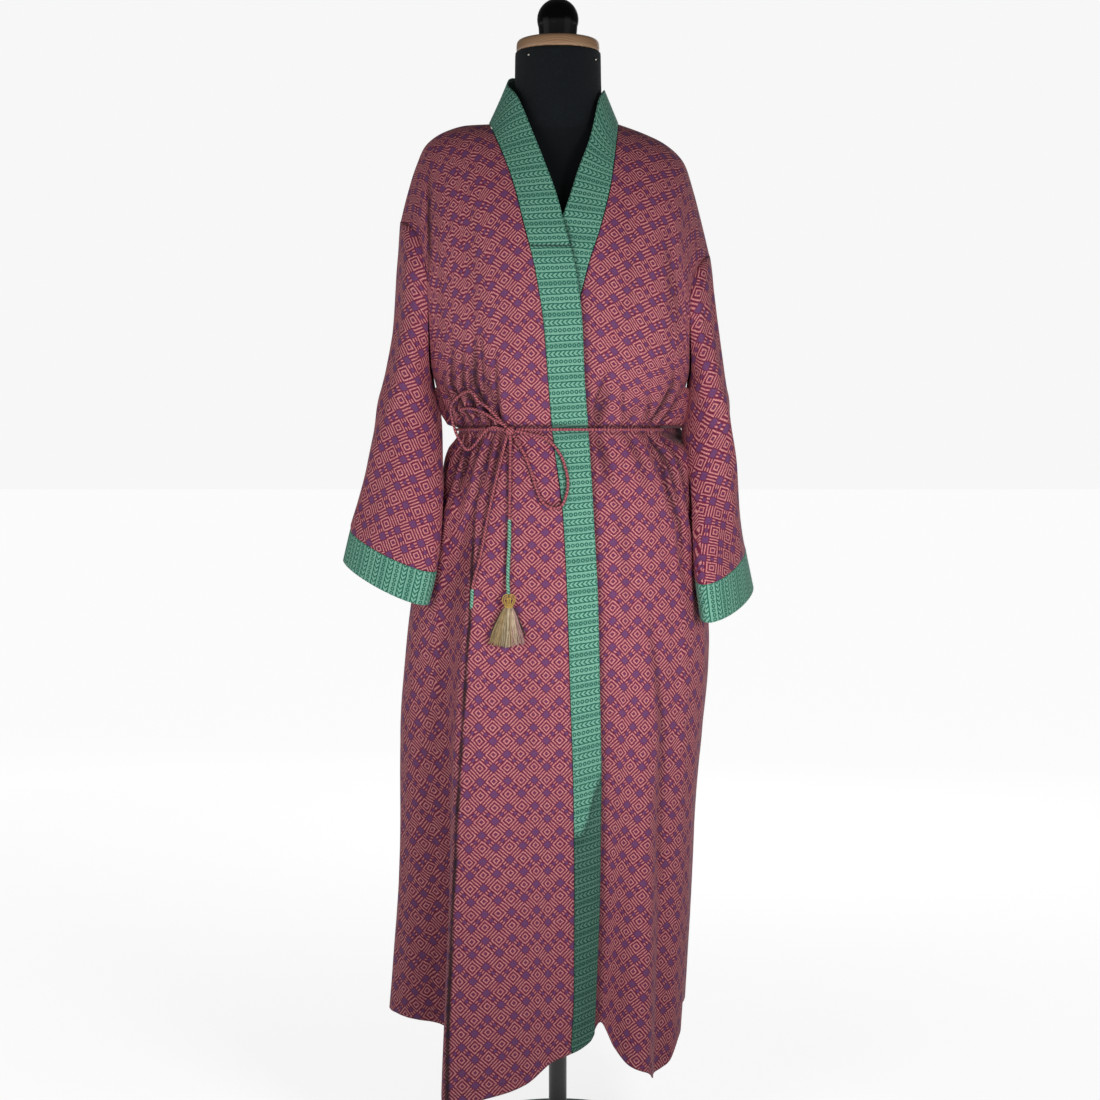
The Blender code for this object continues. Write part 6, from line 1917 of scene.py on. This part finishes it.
@dataclass
class Tassel:
    """The tassel on the long end: a knotted gold crown and a skirt of loose threads.

    The skirt widens by flare and hangs over by trail; every sixth thread is dark, thick and behind, a near-black
    thread put in as painted shade between the others.
    """

    robe: Robe
    gold: GoldCord
    seed: int = 7
    top_z: float = 0.7862
    middle_x: float = -0.0655
    lift: float = 0.0115
    crown_drop: float = 0.0165
    strands: int = 240
    length: float = 0.05
    flare: float = 0.0245
    trail: float = -0.0025
    thread_radius: float = 0.00072
    wire: float = 0.00085

    def crown(self) -> list[Item]:
        """Two side loops like a heart, three upright bars, cross ties and a bound ring, on a bound core whose
        near-black colour is painted shade behind the loops.
        """
        y = self.robe.front_y(self.middle_x, self.top_z) - self.lift
        top = self.top_z
        x = self.middle_x
        runs = []
        for way in (-1.0, 1.0):
            loop = [(0.0008, -0.0005), (0.004, 0.0002), (0.007, -0.002), (0.0082, -0.006),
                    (0.0074, -0.0098), (0.0052, -0.013), (0.004, -0.016)]
            runs.append([(x + way * a, y - 0.0006, top + b) for a, b in loop])
            loop = [(0.0006, -0.002), (0.0028, -0.0018), (0.005, -0.0036), (0.0058, -0.0066),
                    (0.005, -0.0096), (0.0034, -0.0128), (0.0026, -0.0165)]
            runs.append([(x + way * a, y - 0.002, top + b) for a, b in loop])
        for way in (-0.0019, 0.0, 0.0019):
            runs.append([(x + way, y - 0.003, top - 0.003), (x + way * 1.1, y - 0.0036, top - 0.0085),
                         (x + way * 0.8, y - 0.003, top - 0.0165)])
        runs.append([(x - 0.004, y - 0.003, top - 0.0055), (x, y - 0.0052, top - 0.0048),
                     (x + 0.004, y - 0.003, top - 0.0055)])
        runs.append([(x - 0.0044, y - 0.003, top - 0.0118), (x, y - 0.0054, top - 0.0124),
                     (x + 0.0044, y - 0.003, top - 0.0118)])
        for level in (0.015, 0.0165):
            runs.append([(x + 0.0052 * math.cos(t), y + 0.005 * math.sin(t), top - level)
                         for t in np.linspace(0.0, 2 * math.pi * 0.97, 15)])
        parts = [tube("crown_run", smooth_line(run, 0.0009), lambda share: self.wire, 8) for run in runs]
        crown = self.gold.on(joined(parts, "tassel_crown"))
        # The core's near-black thread is painted shade behind the crown's loops.
        return [crown, ThreadFinish(THREADS[-1]).on(self.core(x, y, top))]

    def core(self, x: float, y: float, top: float) -> Item:
        """The crown's bound middle, behind its loops."""
        line = np.array([(x, y + 0.0006, top - d) for d in np.linspace(0.0004, 0.0178, 16)])
        shape = Table("share radius", ((0.0, 0.001), (0.15, 0.0024), (0.45, 0.0034), (0.7, 0.003), (1.0, 0.0042)))
        return tube("tassel_core", line, lambda share: float(shape.at("radius", share)), 20, 0.06, 60.0, 6)

    def threads(self) -> list[Item]:
        """The loose threads, gathered into one piece for each colour.

        Returns:
            The thread pieces.
        """
        chance = np.random.default_rng(self.seed)
        y = self.robe.front_y(self.middle_x, self.top_z) - self.lift
        foot = self.top_z - self.crown_drop
        groups: list[list[Item]] = [[] for _ in THREADS]
        for k in range(self.strands):
            # Every sixth thread is near-black, set behind the others as painted shade among them.
            dark = k % 6 == 5
            angle = k * GOLDEN_ANGLE
            share = math.sqrt((k + 0.5) / self.strands)
            across, out = math.cos(angle) * share, math.sin(angle) * share
            bottom = foot - self.length * (1.0 - 0.1 * abs(across) + 0.05 * chance.uniform(-1, 1))
            low_x = self.middle_x + self.trail + across * self.flare + chance.uniform(-1, 1) * 0.0012
            low_y = self.robe.front_y(low_x, bottom) - 0.005 - (1.0 - out) * 0.0042
            if dark:
                low_y = self.robe.front_y(low_x, bottom) - 0.0042
                bottom = foot - (foot - bottom) * 0.86
            wave = chance.uniform(0.0004, 0.0012)
            phase = chance.uniform(0.0, 6.28)
            points = []
            for t in np.linspace(0.0, 1.0, 9):
                bend = t ** (0.72 + 0.1 * abs(across))
                x = self.middle_x + across * 0.0048 + (low_x - self.middle_x - across * 0.0048) * bend
                x += wave * math.sin(phase + 7.0 * t) * t
                at = y + out * 0.0046 + (low_y - y - out * 0.0046) * t
                at = at + 0.6 * wave * math.cos(phase + 6.0 * t) * t
                points.append((x, at, foot + 0.0016 + (bottom - foot - 0.0016) * t))
            size = self.thread_radius * chance.uniform(0.75, 1.25) * (1.7 if dark else 1.0)
            line = smooth_line(points, 0.004)
            made = tube("thread", line, lambda s, size=size: size * (1.0 - 0.35 * s), 4)
            place = across + chance.uniform(-0.45, 0.45)
            pale = int(np.searchsorted((-0.5, -0.2, 0.1, 0.45), place))
            groups[len(THREADS) - 1 if dark else pale].append(made)
        return [ThreadFinish(thread).on(joined(group, "tassel_" + thread.name))
                for thread, group in zip(THREADS, groups)]

    def make(self) -> list[Item]:
        """Make the tassel's pieces."""
        pieces = self.crown() + self.threads()
        for item in pieces:
            stand_for(item, "tassel")
        LOG.info("tassel: %d threads", self.strands)
        return pieces


@dataclass
class DressForm:
    """The form: its cloth-covered torso, wooden neck cap, ball, pins, pole and base."""

    middle_x: float = -0.0012
    bottom_z: float = 0.72
    neck_top_z: float = 1.51
    cap_radius: float = 0.0562
    cap_height: float = 0.017
    cap_dome: float = 0.014
    ball_radius: float = 0.0282
    ball_foot: float = 0.0245
    ball_z: float = 1.5545
    pole_radius: float = 0.0125
    base_radius: float = 0.16
    base_height: float = 0.01
    girth: float = 0.85
    steps: int = 128

    def torso(self) -> Item:
        """The torso and neck as one smooth closed body, a little rounded at both ends."""
        levels = dense([self.bottom_z, 1.3, 1.42, self.neck_top_z], 0.006)
        rings = [(self.bottom_z, 0.965), (self.bottom_z + 0.0015, 0.985)]
        rings += [(float(z), 1.0) for z in levels[1:-1]]
        rings += [(self.neck_top_z - 0.0012, 0.995), (self.neck_top_z, 0.975)]
        points = []
        for z, shrink in rings:
            wide, front, back, square = (float(TORSO.at(name, z)) for name in TORSO.names[1:])
            power = 2.0 / square
            for k in range(self.steps):
                angle = 2 * math.pi * k / self.steps
                sin, cos = math.sin(angle), math.cos(angle)
                deep = front if cos > 0 else back
                points.append((self.middle_x + shrink * wide * math.copysign(abs(sin) ** power, sin),
                               -shrink * deep * math.copysign(abs(cos) ** power, cos), z))
        return lofted("torso_cloth", points, self.steps, self.girth / self.steps, [z for z, _ in rings], 55.0)

    def turned(self, name: str, profile: Sequence[tuple[float, float]]) -> Item:
        """A turned piece by hand: a disc at its foot, extruded up and resized at each step.

        Args:
            name: the piece's name.
            profile: heights and radii from the foot up.

        Returns:
            The closed, smooth piece.
        """
        deselect()
        low_z, low_radius = profile[0]
        bpy.ops.mesh.primitive_circle_add(vertices=self.steps, radius=low_radius, fill_type="NGON",
                                          location=(self.middle_x, 0.0, low_z))
        item = settle(bpy.context.object)
        item.name = name
        bpy.ops.object.mode_set(mode="EDIT")
        bpy.ops.mesh.select_all(action="SELECT")
        at, radius = low_z, low_radius
        for z, wanted in profile[1:]:
            bpy.ops.mesh.extrude_region_move(TRANSFORM_OT_translate={"value": (0.0, 0.0, z - at)})
            ratio = wanted / radius
            bpy.ops.transform.resize(value=(ratio, ratio, 1.0), center_override=(self.middle_x, 0.0, z))
            at, radius = z, wanted
        bpy.ops.mesh.select_all(action="SELECT")
        bpy.ops.mesh.normals_make_consistent(inside=False)
        bpy.ops.object.mode_set(mode="OBJECT")
        bpy.ops.object.shade_smooth_by_angle(angle=math.radians(34))
        return item

    def cap(self) -> Item:
        """The wooden neck cap: a low disc with a soft foot and a well rounded shoulder."""
        low = self.neck_top_z + SEAM
        profile = [(low, self.cap_radius - 0.0016), (low + 0.0006, self.cap_radius - 0.0006),
                   (low + 0.0016, self.cap_radius)]
        for share in np.linspace(0.16, 1.0, 22):
            drop = self.cap_dome * share ** 4
            profile.append((low + self.cap_height * math.sin(share * math.pi / 2) ** 0.85,
                            self.cap_radius - drop))
        return self.turned("cap_turned", profile)

    def ball(self) -> Item:
        """The ball: a short upright foot that swells into a round top."""
        low = self.neck_top_z + self.cap_height + 2 * SEAM
        profile = [(low, self.ball_foot - 0.0008), (low + 0.0006, self.ball_foot),
                   (low + 0.004, self.ball_foot + 0.001)]
        for angle in np.radians(np.linspace(-20.0, 88.0, 30)):
            profile.append((self.ball_z + self.ball_radius * math.sin(angle), self.ball_radius * math.cos(angle)))
        return self.turned("ball_turned", profile)

    def stand(self) -> list[Item]:
        """The pole, and the round base with its softened rim."""
        top = self.base_height
        pole = [(top + SEAM, self.pole_radius - 0.0006), (top + SEAM + 0.0006, self.pole_radius),
                (self.bottom_z - SEAM - 0.0006, self.pole_radius),
                (self.bottom_z - SEAM, self.pole_radius - 0.0006)]
        base = [(0.0, self.base_radius - 0.0012), (0.0012, self.base_radius), (top - 0.003, self.base_radius),
                (top - 0.0014, self.base_radius - 0.0007), (top - 0.0004, self.base_radius - 0.0022),
                (top, self.base_radius - 0.0045)]
        return [self.turned("pole_turned", pole), self.turned("base_turned", base)]

    def pin(self, node: str) -> Item:
        """A pin's domed head, a little flattened, where its node is."""
        low, high = (Vector(corner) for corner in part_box(node))
        middle = (low + high) / 2
        deselect()
        radius = (high - low).x / 2
        bpy.ops.mesh.primitive_uv_sphere_add(segments=24, ring_count=16, radius=radius, location=middle)
        item = settle(bpy.context.object)
        item.name = node.replace("pin", "pin_head")
        bpy.ops.object.shade_smooth()
        return item

    def make(self) -> None:
        """Make, dress and place the form's pieces."""
        paint = StandPaint()
        made = [(self.torso(), FormCloth(), Slot.FORM, "form_torso"),
                (self.cap(), CapWood(), Slot.CAP, "neck_cap"), (self.ball(), BallGloss(), Slot.BALL, "finial")]
        pole, base = self.stand()
        made += [(pole, paint, Slot.STAND, "pole"), (base, paint, Slot.STAND, "base")]
        metal = PinMetal()
        made += [(self.pin(node), metal, Slot.PIN, node) for node in ("pin_right", "pin_left")]
        for item, finish, slot, node in made:
            stand_for(finish.on(item), node)
            node == "form_torso"
            LOG.info("%s: %d faces", item.name, len(item.data.polygons))


# The soft lights: a name, a place, the point aimed at, a size in metres and watts
LIGHTS = (
    ("key", (0.42, -0.92, 0.86), (0.0, -0.1, 0.9), 0.22, 4.6),
    ("second", (-0.5, -0.98, 0.92), (0.0, -0.1, 0.9), 0.4, 3.1),
    ("fill", (1.9, -1.3, 1.1), (0.0, 0.0, 0.9), 1.4, 4.6),
    ("side", (-2.1, -0.6, 1.1), (0.0, 0.0, 0.9), 1.4, 6.0),
    ("behind", (0.5, 2.4, 1.9), (0.0, 0.0, 0.9), 1.6, 12.0),
)


@dataclass
class Studio:
    """The pale floor, the soft lights and the camera at the photograph's place."""

    camera_place: tuple[float, float, float] = (-0.012, -2.66, 1.0)
    pitch: float = 3.55
    focal_pixels: float = 1935.0
    frame_pixels: float = 1100.0
    sensor: float = 36.0
    room: float = 0.13
    backdrop: float = 0.93

    def floor(self) -> None:
        """A wide pale sheet of paper under the base."""
        deselect()
        bpy.ops.mesh.primitive_plane_add(size=60.0, location=(0.0, 0.0, -0.0004))
        item = settle(bpy.context.object)
        item.name = "studio_floor"
        item.visible_diffuse = False
        FloorPaper().on(item)

    def light(self, name: str, place: tuple[float, float, float], aim: tuple[float, float, float],
              size: float, watts: float) -> None:
        """One soft square light aimed at a point."""
        data = bpy.data.lights.new(name, "AREA")
        data.shape = "SQUARE"
        data.size = size
        data.energy = watts
        item = linked(name, data)
        item.visible_camera = False
        item.location = place
        item.rotation_euler = (Vector(aim) - Vector(place)).to_track_quat("-Z", "Y").to_euler()

    def camera(self) -> None:
        """The camera, level but for a small pitch down."""
        data = bpy.data.cameras.new("camera")
        data.sensor_width = self.sensor
        data.lens = self.focal_pixels / self.frame_pixels * self.sensor
        item = linked("camera", data)
        item.location = self.camera_place
        item.rotation_euler = (math.radians(90.0 - self.pitch), 0.0, 0.0)
        bpy.context.scene.camera = item

    def make(self) -> None:
        """Set the stage."""
        self.floor()
        for light in LIGHTS:
            self.light(*light)
        scene = bpy.context.scene
        scene.view_settings.view_transform = "Standard"
        world = bpy.data.worlds.new("studio")
        scene.world = world
        world.use_nodes = True
        tree = world.node_tree
        ground = tree.nodes["Background"]
        ground.inputs["Color"].default_value = (1.0, 1.0, 1.0, 1.0)
        ground.inputs["Strength"].default_value = self.room
        backdrop = tree.nodes.new("ShaderNodeBackground")
        backdrop.inputs["Color"].default_value = (1.0, 1.0, 1.0, 1.0)
        backdrop.inputs["Strength"].default_value = self.backdrop
        seen = tree.nodes.new("ShaderNodeLightPath")
        mixed = tree.nodes.new("ShaderNodeMixShader")
        tree.links.new(seen.outputs["Is Camera Ray"], mixed.inputs[0])
        tree.links.new(ground.outputs[0], mixed.inputs[1])
        tree.links.new(backdrop.outputs[0], mixed.inputs[2])
        tree.links.new(mixed.outputs[0], tree.nodes["World Output"].inputs["Surface"])
        self.camera()


def main() -> None:
    """Build the form, the robe, the belt and the studio."""
    logging.basicConfig(level=logging.INFO, format="%(message)s")
    Studio().make()
    robe = Robe()
    DressForm().make()
    Garment(robe, RobePrint(), BandPrint()).make()
    tassel = Tassel(robe, GoldCord()).make()
    rolled = RolledCloth("belt_cloth", (92, 22, 46), (214, 112, 118), (104, 52, 92))
    green = RolledCloth("tip_cloth", (36, 112, 88), (150, 208, 180), (84, 158, 132))
    Belt(robe, rolled, green).make(tassel)


if __name__ == "__main__":
    main()
